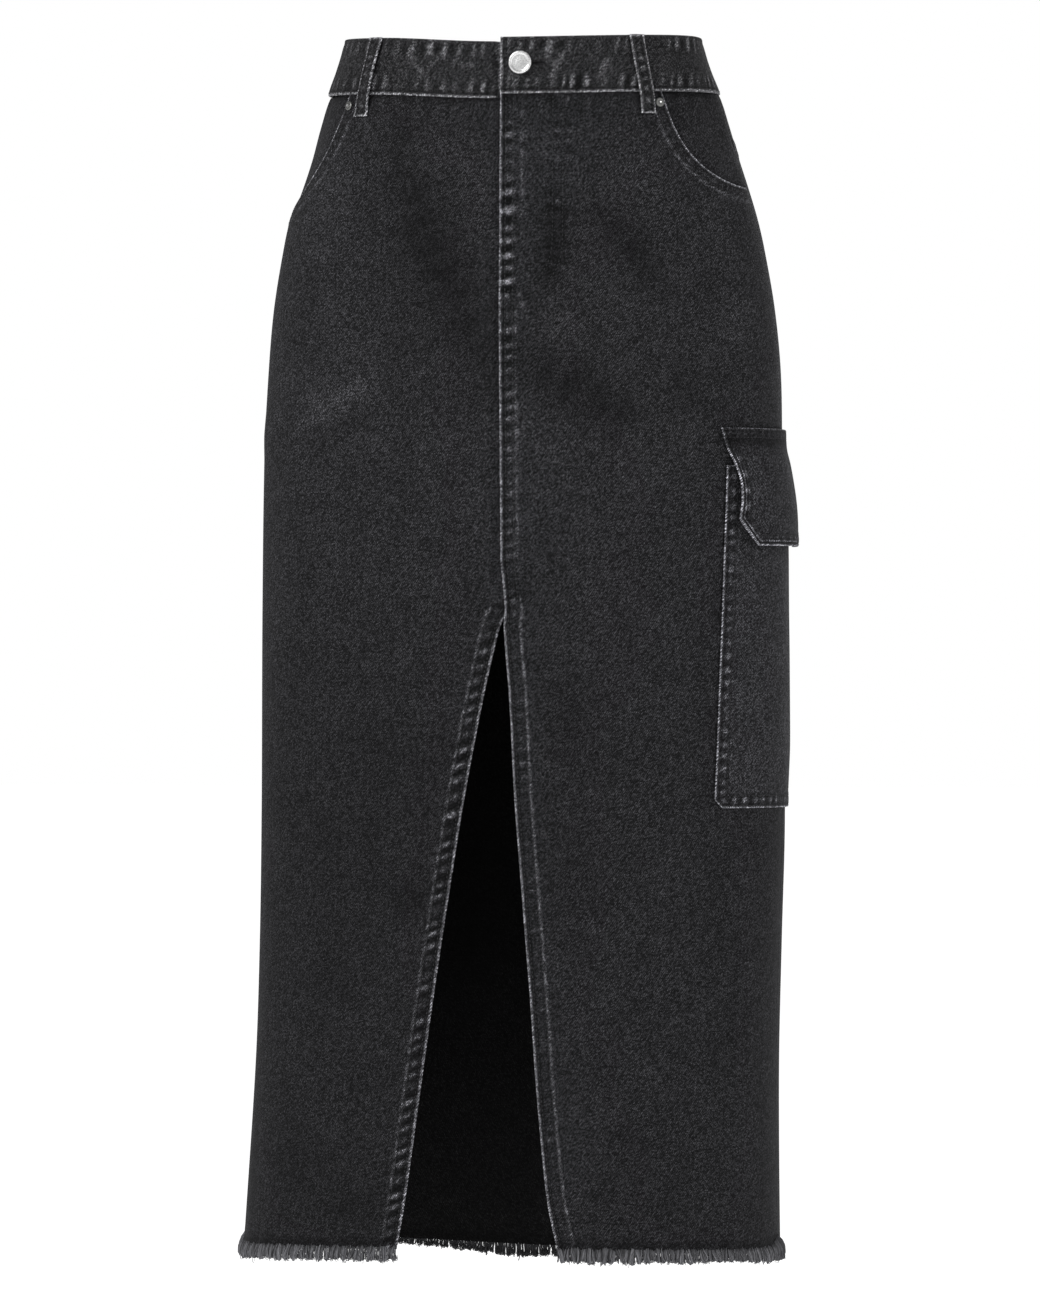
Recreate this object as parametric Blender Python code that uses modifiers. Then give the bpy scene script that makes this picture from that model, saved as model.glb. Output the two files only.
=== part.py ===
"""A black denim midi skirt with a front slit, a frayed hem and one cargo pocket.

The skirt is built in the hollow shape it has when worn. Sizes are in metres. +Z is up, the front faces -Y, and the
wearer's left is +X. The origin is the centre of the waist, at half the height of the waistband.

Every place on the cloth is given by two numbers: its turn, the angle round the body from the centre front, positive
towards the wearer's left, and its drop, the distance below the top of the waistband.
"""

import math
import random
from collections import namedtuple

import bmesh
import bpy
from mathutils import Matrix, Vector

# Cloth and seams
WALL = 0.0016  # one layer of denim
SEAM_GAP = 0.0003  # between pieces that are sewn edge to edge
LAYER_GAP = 0.0006  # between a piece and the piece it lies on
UNDER = WALL + LAYER_GAP  # how deep a layer lies under one wall

# The body of the skirt
LENGTH = 0.871  # from the top of the waistband to the frayed edge
CORNER = 0.05  # how much fuller than an ellipse the sections are, halfway between front and side
SIDE_RISE = 0.0035  # the waist is this much higher at the side seams than at the centre front
HEM_SIDE_DIP = 0.003  # and the hem this much lower
HEM_BACK_DIP = 0.012  # the hem is lower still behind
HEM_BACK_TURN = math.radians(172)  # where it is lowest
COLUMN = math.radians(6)  # the turn between two columns of the cloth's grid
Section = namedtuple("Section", "drop right left front back")
SECTIONS = [  # half widths to the right and left side seams, depths to the centre front and centre back
    Section(0.000, 0.1300, 0.1290, 0.0890, 0.0900),
    Section(0.020, 0.1365, 0.1355, 0.0900, 0.0920),
    Section(0.041, 0.1440, 0.1440, 0.0910, 0.0950),
    Section(0.062, 0.1505, 0.1505, 0.0920, 0.1010),
    Section(0.084, 0.1565, 0.1570, 0.0930, 0.1080),
    Section(0.106, 0.1640, 0.1640, 0.0940, 0.1140),
    Section(0.128, 0.1725, 0.1705, 0.0945, 0.1190),
    Section(0.150, 0.1775, 0.1755, 0.0950, 0.1220),
    Section(0.193, 0.1845, 0.1830, 0.0960, 0.1260),
    Section(0.240, 0.1885, 0.1875, 0.0970, 0.1290),
    Section(0.300, 0.1915, 0.1885, 0.0980, 0.1310),
    Section(0.410, 0.1930, 0.1900, 0.1000, 0.1320),
    Section(0.565, 0.1935, 0.1905, 0.1040, 0.1330),
    Section(0.650, 0.1945, 0.1880, 0.1070, 0.1340),
    Section(0.740, 0.1975, 0.1860, 0.1100, 0.1360),
    Section(0.870, 0.2060, 0.1865, 0.1140, 0.1390),
]

# The largest folds: soft troughs, or ridges where the depth is negative, each along a line on the cloth
Fold = namedtuple("Fold", "turn drop to_turn to_drop width depth")
FOLDS = [
    Fold(-27, 0.100, -10, 0.265, 0.038, 0.0022),
    Fold(13, 0.135, 17, 0.180, 0.026, 0.0012),
    Fold(19, 0.120, 42, 0.180, 0.034, 0.0016),
    Fold(33, 0.215, 56, 0.265, 0.038, 0.0018),
    Fold(5, 0.225, 31, 0.270, 0.030, 0.0012),
    Fold(-72, 0.285, -46, 0.250, 0.034, -0.0018),
    Fold(-66, 0.320, -44, 0.290, 0.030, 0.0014),
    Fold(-46, 0.560, -36, 0.660, 0.050, 0.0014),
    Fold(140, 0.240, 205, 0.300, 0.050, 0.0020),
    Fold(222, 0.215, 175, 0.275, 0.040, 0.0014),
    Fold(150, 0.520, 162, 0.700, 0.055, 0.0022),
    Fold(208, 0.480, 200, 0.680, 0.055, 0.0020),
]

# Waistband
BAND_HEIGHT = 0.041
BAND_WALL = 0.0030
BAND_PROUD = 0.0012  # its outer face stands this far outside the panels
UNDERLAP = 0.036  # the right end runs on under the left end
UNDERLAP_GAP = 0.0010
UNDERLAP_SAG = 0.0032  # the right end sits lower than the left one where they cross
STEP_IN = 0.010  # the length of band in which the right end steps inward

# Belt loops
LOOP_WIDTH = 0.0108
LOOP_WALL = 0.0020
LOOP_SLACK = 0.0013  # the loop bows away from the band by this much
LOOP_END = 0.0555  # drop of the lower end
Loop = namedtuple("Loop", "name top_turn end_turn")
LOOPS = [
    Loop("belt_loop_front_right", -43.6, -42.8),
    Loop("belt_loop_front_left", 44.4, 42.3),
    Loop("belt_loop_side_left", 128.0, 129.0),
    Loop("belt_loop_centre_back", 180.0, 180.0),
    Loop("belt_loop_side_right", 232.0, 231.0),
]

# Waist button and its keyhole buttonhole
BUTTON_ACROSS = 0.0150  # from the centre front edge to the button's centre
BUTTON_DROP = 0.0190
BUTTON_RADIUS = 0.0085
SHANK_RADIUS = 0.0019
BUTTONHOLE_LENGTH = 0.0155
BUTTONHOLE_WIDTH = 0.0024
HOLE_RADIUS = 0.0024

# Rivets at the tops of the pocket openings
RIVET_RADIUS = 0.0033
RIVET_TURNS = {"rivet_right": -49.4, "rivet_left": 46.8}
RIVET_DROP = 0.0472

# Scoop pockets: the opening runs from the waistband seam to the side seam
Scoop = namedtuple("Scoop", "side width drop roundness")
SCOOP_LEFT = Scoop(1, 0.072, 0.106, 2.8)
SCOOP_RIGHT = Scoop(-1, 0.067, 0.124, 1.9)
FACING_UNDER = 0.014  # the facing runs on under the front panel
FACING_DEPTH = UNDER + 0.0004

# Centre front: lap, fly and slit
LAP_UNDER = 0.012  # the right front runs on under the left front
LAP_STEP = 0.0055  # and steps inward over this width
LAP_CLEAR = 0.001  # which ends this far before the left front's edge
EDGE_COLUMNS = [0, 0.006, LAP_UNDER + LAP_CLEAR, LAP_UNDER + LAP_CLEAR + LAP_STEP]  # distances from a centre edge
FLY_END = 0.190
SLIT_TOP = 0.411
SLIT_CLOSE = 0.040  # the right edge rises to the level of the left one over this drop
SlitEdge = namedtuple("SlitEdge", "drop right left")
SLIT = [  # distance of each edge from the centre front, along the cloth
    SlitEdge(0.376, 0.0120, 0.0018),
    SlitEdge(0.411, 0.0080, 0.0052),
    SlitEdge(0.423, 0.0020, 0.0045),
    SlitEdge(0.441, -0.0024, 0.0057),
    SlitEdge(0.477, -0.0103, 0.0088),
    SlitEdge(0.549, -0.0239, 0.0130),
    SlitEdge(0.620, -0.0352, 0.0190),
    SlitEdge(0.692, -0.0459, 0.0252),
    SlitEdge(0.764, -0.0559, 0.0308),
    SlitEdge(0.836, -0.0660, 0.0385),
    SlitEdge(0.871, -0.0722, 0.0460),
]
ZIP_WIDTH = 0.028
SHIELD_WIDTH = 0.048

# Back yoke: deeper at the centre back
YOKE_SIDE = 0.078
YOKE_CENTRE = 0.104

# Cargo pocket over the left side seam, as distances from the seam along the cloth
POCKET_TOP = 0.308
POCKET_END = 0.5545
POCKET_TOP_HALF = 0.0695
POCKET_END_HALF = 0.0840
POCKET_CORNER = 0.006  # the lower corners are cut off by this much
POCKET_PUFF = 0.0014
FLAP_TOP = 0.281
FLAP_END = 0.366
FLAP_CHAMFER_ACROSS = 0.016
FLAP_CHAMFER_UP = 0.019
FLAP_WALL = 0.0022
FlapRow = namedtuple("FlapRow", "drop half out")
FLAP = [  # half the flap's width, and how far its outer face stands off the panel
    FlapRow(0.281, 0.0735, 0.0029),
    FlapRow(0.295, 0.0700, 0.0036),
    FlapRow(0.306, 0.0660, 0.0060),
    FlapRow(0.320, 0.0630, 0.0082),
    FlapRow(0.335, 0.0635, 0.0100),
    FlapRow(0.350, 0.0665, 0.0109),
    FlapRow(0.366, 0.0675, 0.0108),
]

# Frayed hem
STRAND_PITCH = 0.0046
BACKING = 0.003  # the height of the strip that holds the strands
STRAND_SHORT = 0.0070
STRAND_LONG = 0.0125
STRAND_WIDTH = 0.0012
STRAND_TIP = 0.0004
STRAND_LEAN = 0.0022
FRAY_WALL = 0.0013

# Finish of each material: base colour, roughness, metallic
DENIM = ("washed_black_denim", (0.026, 0.026, 0.028, 1), 0.88, 0.0)
DENIM_BAND = ("washed_black_denim_seamed", (0.036, 0.036, 0.038, 1), 0.86, 0.0)
DENIM_POCKET = ("washed_black_denim_patch", (0.032, 0.032, 0.034, 1), 0.87, 0.0)
FRAY = ("grey_cotton_yarn", (0.062, 0.062, 0.066, 1), 0.92, 0.0)
ZIP_TAPE = ("black_zip_tape", (0.012, 0.012, 0.013, 1), 0.7, 0.0)
STEEL = ("nickel_plated_metal", (0.72, 0.72, 0.73, 1), 0.24, 1.0)

ZENITH = BAND_HEIGHT / 2  # height of the top of the waistband
SIDE = math.radians(90)
BACK = math.radians(180)
NUDGE = 1e-4


def hermite(rows, column, at):
    """A smooth curve through one column of a table, whose first column is the drop."""
    at = min(max(at, rows[0][0]), rows[-1][0])
    i = max(j for j in range(len(rows) - 1) if j == 0 or rows[j][0] <= at)

    def slope(j):
        before, after = rows[max(j - 1, 0)], rows[min(j + 1, len(rows) - 1)]
        return (getattr(after, column) - getattr(before, column)) / (after[0] - before[0])

    span = rows[i + 1][0] - rows[i][0]
    s = (at - rows[i][0]) / span
    start, end = getattr(rows[i], column), getattr(rows[i + 1], column)
    return (
        (2 * s**3 - 3 * s**2 + 1) * start
        + (s**3 - 2 * s**2 + s) * span * slope(i)
        + (3 * s**2 - 2 * s**3) * end
        + (s**3 - s**2) * span * slope(i + 1)
    )


def smooth(low, high, at):
    """0 up to low, 1 from high on, and an eased step between them."""
    s = min(max((at - low) / (high - low), 0), 1)
    return s * s * (3 - 2 * s)


def mix(a, b, share):
    return a + (b - a) * share


# ---------------------------------------------------------------------------------------- the shape of the cloth


def body(turn, drop):
    """A point of the skirt's section, before its folds. The lowest section serves past the hem."""
    left, right = hermite(SECTIONS, "left", drop), hermite(SECTIONS, "right", drop)
    front, back = hermite(SECTIONS, "front", drop), hermite(SECTIONS, "back", drop)
    s, c = math.sin(turn), math.cos(turn)
    fuller = 1 + CORNER * math.sin(2 * turn) ** 2
    return Vector(((left if s > 0 else right) * s * fuller, -(front if c > 0 else back) * c * fuller, ZENITH - drop))


def outward(turn, drop):
    """The direction that the cloth faces."""
    across = body(turn + NUDGE, drop) - body(turn - NUDGE, drop)
    drop = min(max(drop, 0.001), LENGTH - 0.002)
    upward = body(turn, drop - 0.001) - body(turn, drop + 0.001)
    return across.cross(upward).normalized()


def fold_depth(turn, drop):
    """How far the folds push the cloth in at one place."""
    depth = 0.0
    for fold in FOLDS:
        radius = body(math.radians(fold.turn), fold.drop).xy.length
        around = math.degrees(turn) % 360
        offset = (around - fold.turn + 180) % 360 - 180
        along = Vector((math.radians(fold.to_turn - fold.turn) * radius, fold.to_drop - fold.drop))
        here = Vector((math.radians(offset) * radius, drop - fold.drop))
        share = min(max(here.dot(along) / along.length_squared, 0), 1)
        away = (here - along * share).length
        depth += fold.depth * math.exp(-((2 * away / fold.width) ** 2))
    return depth


def cloth(turn, drop, out=0.0):
    """The point of the cloth's outer face at a turn and drop, moved outward by out."""
    return body(turn, drop) + outward(turn, drop) * (out - fold_depth(turn, drop))


def turn_after(turn, drop, distance, steps=12):
    """The turn reached by going a distance along the cloth, at one drop."""
    for _ in range(steps):
        rate = (body(turn + NUDGE, drop) - body(turn - NUDGE, drop)).length / (2 * NUDGE)
        turn += distance / steps / rate
    return turn


def waist_line(turn, right_end=False):
    """The drop of the waistband's top edge. Its right end runs on past the centre front, under its left end."""
    sag = UNDERLAP_SAG * smooth(math.radians(-42), 0, turn) if turn < 0 or right_end else 0.0
    return sag - SIDE_RISE * math.sin(turn) ** 2


def band_seam(turn, right_end=False):
    """The drop of the seam between the waistband and the panels."""
    return waist_line(turn, right_end) + BAND_HEIGHT


def hem_line(turn):
    """The drop of the frayed edge."""
    behind = max(math.cos(turn - HEM_BACK_TURN), 0) ** 3
    return LENGTH + HEM_SIDE_DIP * math.sin(turn) ** 2 + HEM_BACK_DIP * behind


def stops(low, high, pitch=COLUMN):
    """Numbers from low to high, about one pitch apart."""
    count = max(1, round(abs(high - low) / pitch))
    return [mix(low, high, i / count) for i in range(count + 1)]


# ---------------------------------------------------------------------------------------- making objects


def collection(name):
    made = bpy.data.collections.new(name)
    bpy.context.scene.collection.children.link(made)
    return made


def material(finish):
    name, colour, roughness, metallic = finish
    made = bpy.data.materials.get(name) or bpy.data.materials.new(name)
    made.use_nodes = True
    shader = made.node_tree.nodes["Principled BSDF"]
    shader.inputs["Base Color"].default_value = colour
    shader.inputs["Roughness"].default_value = roughness
    shader.inputs["Metallic"].default_value = metallic
    made.diffuse_color = colour
    return made


def add_object(name, bm, finish, into):
    mesh = bpy.data.meshes.new(name)
    bm.to_mesh(mesh)
    bm.free()
    piece = bpy.data.objects.new(name, mesh)
    into.objects.link(piece)
    mesh.materials.append(material(finish))
    return piece


def thicken(piece, wall):
    """Gives an open surface its wall, on the inner side."""
    solidify = piece.modifiers.new("wall", "SOLIDIFY")
    solidify.thickness = wall
    solidify.offset = -1
    solidify.use_even_offset = True
    return piece


def cloth_piece(name, columns, rows, place, wall=WALL, finish=DENIM):
    """A piece of cloth: place(column, row) gives the turn, drop and outward distance of each point of its grid."""
    bm = bmesh.new()
    grid = [[bm.verts.new(cloth(*place(column, row))) for column in columns] for row in rows]
    for upper, lower in zip(grid, grid[1:]):
        for i in range(len(columns) - 1):
            bm.faces.new((lower[i], lower[i + 1], upper[i + 1], upper[i]))
    piece = add_object(name, bm, finish, skirt)
    piece.data.shade_smooth()
    return thicken(piece, wall)


def turned_piece(name, profile, steps, turn, drop, out, finish=STEEL):
    """A turned piece whose axis stands on the cloth. The profile is radius and height, from the top down."""
    bm = bmesh.new()
    points = [bm.verts.new((radius, 0, height)) for radius, height in profile]
    for a, b in zip(points, points[1:]):
        bm.edges.new((a, b))
    piece = add_object(name, bm, finish, skirt)
    screw = piece.modifiers.new("turn", "SCREW")
    screw.steps = screw.render_steps = steps
    screw.use_merge_vertices = True
    screw.merge_threshold = 0.00001
    stand_on_cloth(piece, turn, drop, out)
    return piece


def stand_on_cloth(piece, turn, drop, out):
    """Places a piece so that its own Z is the way the cloth faces, and its own X is along the cloth."""
    z = outward(turn, drop)
    x = (body(turn + NUDGE, drop) - body(turn - NUDGE, drop)).normalized()
    y = z.cross(x)
    piece.matrix_world = Matrix.Translation(cloth(turn, drop, out)) @ Matrix((x, y, z)).transposed().to_4x4()


def arc(radius, centre, start, end, count):
    """Points of an arc as (across, up), by angles in degrees from +across."""
    centre_across, centre_up = centre
    turns = [math.radians(mix(start, end, i / count)) for i in range(count + 1)]
    return [(centre_across + radius * math.cos(t), centre_up + radius * math.sin(t)) for t in turns]


# ---------------------------------------------------------------------------------------- panels


def scoop_curve(scoop, share):
    """The pocket opening from the waistband seam, at 0, to the side seam, at 1: distance from the seam, and drop."""
    corner = math.radians(90 * share)
    power = 2 / scoop.roundness
    top = band_seam(scoop.side * math.radians(50))
    return scoop.width * math.cos(corner) ** power, mix(top, scoop.drop, math.sin(corner) ** power)


def side_edge(scoop, row, gap):
    """The front panel's outer edge at one of its rows: along the pocket opening, then down the side seam."""
    seam = scoop.side * SIDE
    if row <= 1:
        distance, drop = scoop_curve(scoop, row)
        return turn_after(seam, drop, -scoop.side * max(distance, gap)), drop
    end = hem_line(seam)
    drop = mix(scoop.drop, end, (row - 1) / (LAST_ROW - 1))
    return turn_after(seam, drop, -scoop.side * gap), drop


SCOOP_ROWS = [0, 0.2, 0.38, 0.54, 0.68, 0.79, 0.87, 0.94, 1]  # closer where the opening crosses the curve of the hip
# Below the pocket opening the rows are closer round the top of the slit.
LOWER_DROPS = [0.165, 0.193, 0.225, 0.260, 0.300, 0.340, 0.376, 0.395, 0.411, 0.423, 0.441, 0.477, 0.528]
LOWER_DROPS += [0.584, 0.640, 0.700, 0.760, 0.818, LENGTH]
SCOOP_FRONT_DROP = 0.140  # where the row that ends the pocket opening meets the centre front
LAST_ROW = 1 + (LENGTH - SCOOP_FRONT_DROP)
PANEL_ROWS = SCOOP_ROWS + [1 + drop - SCOOP_FRONT_DROP for drop in LOWER_DROPS]


def front_place(scoop, centre_edge, depth):
    """The grid of a front panel. Columns up to 0 are distances from its centre edge, and those from 0 to 1 share out
    the rest of the way to its side edge."""

    def place(column, row):
        if row <= 1:
            centre_drop = mix(band_seam(0, scoop.side < 0) + SEAM_GAP, SCOOP_FRONT_DROP, row)
        else:
            centre_drop = SCOOP_FRONT_DROP + row - 1
        edge_turn, edge_drop = side_edge(scoop, row, SEAM_GAP / 2)
        drop = mix(centre_drop, edge_drop, max(column, 0))
        from_edge = EDGE_COLUMNS[-1] if column > 0 else -column
        turn = turn_after(0, centre_drop, centre_edge(centre_drop) + scoop.side * from_edge)
        turn = mix(turn, edge_turn, max(column, 0))
        if row == 0:
            drop = band_seam(turn, scoop.side < 0) + SEAM_GAP
        if row == LAST_ROW:
            drop = hem_line(turn)
        return turn, drop, depth(turn, drop)

    return place


def left_slit_edge(drop):
    return hermite(SLIT, "left", drop) if drop > SLIT[0].drop else SLIT[0].left * smooth(0.19, SLIT[0].drop, drop)


def right_slit_edge(drop):
    return hermite(SLIT, "right", drop) if drop > SLIT[0].drop else LAP_UNDER


def lap_depth(turn, drop):
    """The right front steps under the left one, down to the slit."""
    across = turn * hermite(SECTIONS, "right", drop)
    stepped = smooth(-LAP_CLEAR - LAP_STEP, -LAP_CLEAR, across)
    return -UNDER * stepped * (1 - smooth(SLIT_TOP + 0.010, SLIT_TOP + SLIT_CLOSE, drop))


def add_fronts():
    shares = [i / 14 for i in range(1, 15)]
    columns = [-distance for distance in EDGE_COLUMNS] + shares
    left = front_place(SCOOP_LEFT, left_slit_edge, lambda turn, drop: 0.0)
    cloth_piece("front_left", columns, PANEL_ROWS, left)
    right = front_place(SCOOP_RIGHT, right_slit_edge, lap_depth)
    cloth_piece("front_right", columns[::-1], PANEL_ROWS, right)


def add_facings():
    """Behind each pocket opening, from the side seam to a little way under the front panel."""
    for scoop, name in ((SCOOP_LEFT, "pocket_facing_left"), (SCOOP_RIGHT, "pocket_facing_right")):
        seam = scoop.side * SIDE
        end = scoop.drop + FACING_UNDER
        width = scoop.width + FACING_UNDER

        def place(column, row, scoop=scoop, seam=seam, end=end, width=width):
            share = column if scoop.side < 0 else 1 - column
            drop = mix(band_seam(seam) + 2 * SEAM_GAP, end, row)
            turn = turn_after(seam, drop, -scoop.side * mix(SEAM_GAP / 2, width, share))
            return turn, mix(band_seam(turn) + 2 * SEAM_GAP, end, row), -FACING_DEPTH

        cloth_piece(name, [i / 10 for i in range(11)], [i / 5 for i in range(6)], place)


def yoke_line(turn):
    """The drop of the seam between yoke and back panel."""
    return mix(YOKE_SIDE, YOKE_CENTRE, (math.cos(turn) ** 2) ** 0.5)


def add_backs():
    lower = [0, 0.035, 0.075, 0.12, 0.17, 0.23, 0.30, 0.38, 0.46, 0.54, 0.62, 0.70, 0.78, 0.86, 0.93, 1]
    for side, name in ((1, "left"), (-1, "right")):
        low, high = (SIDE, BACK) if side > 0 else (BACK, 3 * SIDE)
        columns = stops(low, high)

        def apart(turn, drop, low=low, high=high):
            """Keeps the first and last columns half a gap away from the seams."""
            if turn in (low, high):
                return turn_after(turn, drop, SEAM_GAP / 2 if turn == low else -SEAM_GAP / 2, 1)
            return turn

        def panel(turn, row, apart=apart):
            drop = mix(yoke_line(turn) + SEAM_GAP, hem_line(turn), row)
            return apart(turn, drop), drop, 0.0

        def yoke(turn, row, apart=apart):
            drop = mix(band_seam(turn) + SEAM_GAP, yoke_line(turn), row)
            return apart(turn, drop), drop, 0.0

        cloth_piece(f"back_{name}", columns, lower, panel)
        cloth_piece(f"yoke_{name}", columns, [0, 0.5, 1], yoke)


# ---------------------------------------------------------------------------------------- waistband and its fittings


def add_waistband():
    """One strip, from its left end at the centre front, round the back, to its right end under the left one."""
    around = 4 * SIDE
    step = STEP_IN / SECTIONS[1].right
    under = UNDERLAP / SECTIONS[1].left
    columns = stops(0, around - step, COLUMN * 1.05)
    columns += [around - step * share for share in (0.66, 0.33, 0)]
    columns += stops(around, around + under, COLUMN * 0.9)[1:]

    def place(turn, row):
        inward = (BAND_WALL + UNDERLAP_GAP) * smooth(around - step, around, turn)
        right_end = turn > SIDE * 3
        here = turn - around if right_end else turn
        return here, waist_line(here, right_end) + BAND_HEIGHT * row, BAND_PROUD - inward

    band = cloth_piece("waistband", columns, [0, 0.5, 1], place, BAND_WALL, DENIM_BAND)
    for cutter in (hole_cutter(), slot_cutter()):
        cut = band.modifiers.new(cutter.name, "BOOLEAN")
        cut.operation = "DIFFERENCE"
        cut.solver = "EXACT"
        cut.object = cutter


def as_cutter(cutter):
    for holder in list(cutter.users_collection):
        holder.objects.unlink(cutter)
    cutters.objects.link(cutter)
    cutter.hide_render = True
    cutter.display_type = "WIRE"
    return cutter


def hole_cutter():
    """The round end of the buttonhole, which goes on through the right end of the band for the button's shank."""
    bpy.ops.mesh.primitive_cylinder_add(vertices=16, radius=HOLE_RADIUS, depth=0.024)
    cutter = bpy.context.object
    cutter.name = "button_shank_hole"
    stand_on_cloth(cutter, turn_after(0, BUTTON_DROP, BUTTON_ACROSS), BUTTON_DROP, 0)
    return as_cutter(cutter)


def slot_cutter():
    """The straight part of the buttonhole, through the left end of the band only."""
    outside = 0.006
    depth = outside + BAND_WALL - BAND_PROUD + UNDERLAP_GAP / 2
    bpy.ops.mesh.primitive_cube_add(size=1)
    cutter = bpy.context.object
    cutter.name = "buttonhole"
    size = Matrix.Diagonal((BUTTONHOLE_LENGTH, BUTTONHOLE_WIDTH, depth, 1))
    cutter.data.transform(Matrix.Translation((0, 0, outside - depth / 2)) @ size)
    middle = turn_after(0, BUTTON_DROP, BUTTON_ACROSS + BUTTONHOLE_LENGTH / 2)
    stand_on_cloth(cutter, middle, BUTTON_DROP, 0)
    return as_cutter(cutter)


def add_button():
    """A two-part button: a cap with a raised rim on the outside, and a tack head inside the band, on one shank."""
    face = BAND_PROUD + 0.0009  # underside of the cap
    inside = BAND_PROUD - 2 * BAND_WALL - UNDERLAP_GAP - LAYER_GAP
    rim = BUTTON_RADIUS
    profile = [(0, face + 0.0023), (rim * 0.66, face + 0.0023), (rim * 0.71, face + 0.0031)]
    profile += arc(0.0012, (rim - 0.0012, face + 0.0019), 105, 0, 4)
    profile += [(rim - 0.0003, face + 0.0006), (rim - 0.0016, face), (SHANK_RADIUS, face)]
    profile += [(SHANK_RADIUS, inside), (0.0046, inside), (0.0050, inside - 0.0005), (0.0042, inside - 0.0012)]
    profile += [(0, inside - 0.0014)]
    turned_piece("waist_button", profile, 24, turn_after(0, BUTTON_DROP, BUTTON_ACROSS), BUTTON_DROP, 0)


def add_rivets():
    """A domed cap with a nipple in the middle, on the corner of each pocket opening."""
    for name, turn in RIVET_TURNS.items():
        foot = LAYER_GAP
        profile = [(0, foot + 0.0022), (0.0009, foot + 0.0018), (0.0013, foot + 0.0013)]
        profile += [(RIVET_RADIUS * 0.8, foot + 0.0012), (RIVET_RADIUS, foot + 0.0005), (RIVET_RADIUS * 0.92, foot)]
        profile += [(0, foot)]
        turned_piece(name, profile, 16, math.radians(turn), RIVET_DROP, 0)


def add_loops():
    """Strips sewn to the band's top edge and to the panel below the band, with room for a belt under them."""
    on_band = BAND_PROUD + LAYER_GAP + LOOP_WALL
    on_panel = LAYER_GAP + LOOP_WALL
    for loop in LOOPS:
        top_turn, end_turn = math.radians(loop.top_turn), math.radians(loop.end_turn)

        def place(column, row, top_turn=top_turn, end_turn=end_turn):
            middle = mix(top_turn, end_turn, row)
            drop = mix(waist_line(top_turn) + 0.0003, LOOP_END, row)
            turn = turn_after(middle, drop, (column - 0.5) * LOOP_WIDTH, 2)
            lie = mix(on_band, on_panel, smooth(0.78, 0.97, row))
            return turn, drop, lie + LOOP_SLACK * math.sin(math.pi * min(row / 0.9, 1)) ** 2

        rows = [0, 0.12, 0.3, 0.5, 0.68, 0.8, 0.9, 1]
        cloth_piece(loop.name, [0, 1], rows, place, LOOP_WALL, DENIM_BAND)


def add_fly():
    """The closed zip behind the lap and the shield behind the zip, both hidden by the left front."""
    layers = [("fly_zip", 0.001, ZIP_WIDTH, 2 * UNDER, 0.0010, ZIP_TAPE)]
    layers += [("fly_shield", -0.008, SHIELD_WIDTH, 3 * UNDER, WALL, DENIM)]
    for name, start, width, depth, wall, finish in layers:

        def place(column, row, start=start, width=width, depth=depth):
            drop = mix(BAND_HEIGHT + UNDERLAP_SAG + 2 * SEAM_GAP, FLY_END, row)
            return turn_after(0, drop, start + width * column), drop, -depth

        cloth_piece(name, [0, 1 / 3, 2 / 3, 1], [i / 5 for i in range(6)], place, wall, finish)


# ---------------------------------------------------------------------------------------- cargo pocket


def pocket_half(drop):
    return mix(POCKET_TOP_HALF, POCKET_END_HALF, (drop - POCKET_TOP) / (POCKET_END - POCKET_TOP))


def add_pocket():
    """A patch over the side seam, sewn down along its sides and lower edge, and slightly full in the middle."""
    corner = POCKET_CORNER / POCKET_END_HALF
    columns = [-1, corner - 1, -0.78, -0.62, -0.46, -0.3, -0.15, 0, 0.15, 0.3, 0.46, 0.62, 0.78, 1 - corner, 1]
    rows = [0, 0.08, 0.2, 0.35, 0.5, 0.65, 0.8, 0.92, 1]

    def place(column, row):
        end = POCKET_END - (POCKET_CORNER if abs(column) == 1 else 0)
        drop = mix(POCKET_TOP, end, row)
        full = (1 - abs(column) ** 4) * smooth(1, 0.8, row)
        turn = turn_after(SIDE, drop, column * pocket_half(drop))
        return turn, drop, LAYER_GAP + WALL + POCKET_PUFF * full

    cloth_piece("cargo_pocket", columns, rows, place, WALL, DENIM_POCKET)


def add_flap():
    """Two layers with chamfered corners, sewn down above the pocket and standing off it further down."""
    chamfer = FLAP_CHAMFER_ACROSS / FLAP[-1].half
    columns = [-1, -1 + chamfer * 0.5, -1 + chamfer, -0.55, -0.36, -0.18, 0, 0.18, 0.36, 0.55]
    columns += [1 - chamfer, 1 - chamfer * 0.5, 1]

    def place(column, row):
        cut = FLAP_CHAMFER_UP * min(max((abs(column) - 1 + chamfer) / chamfer, 0), 1)
        drop = mix(FLAP_TOP, FLAP_END - cut, (row - FLAP_TOP) / (FLAP_END - FLAP_TOP))
        turn = turn_after(SIDE, drop, column * hermite(FLAP, "half", drop))
        return turn, drop, hermite(FLAP, "out", drop)

    cloth_piece("cargo_flap", columns, [row.drop for row in FLAP], place, FLAP_WALL, DENIM_POCKET)


# ---------------------------------------------------------------------------------------- frayed hem


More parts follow.
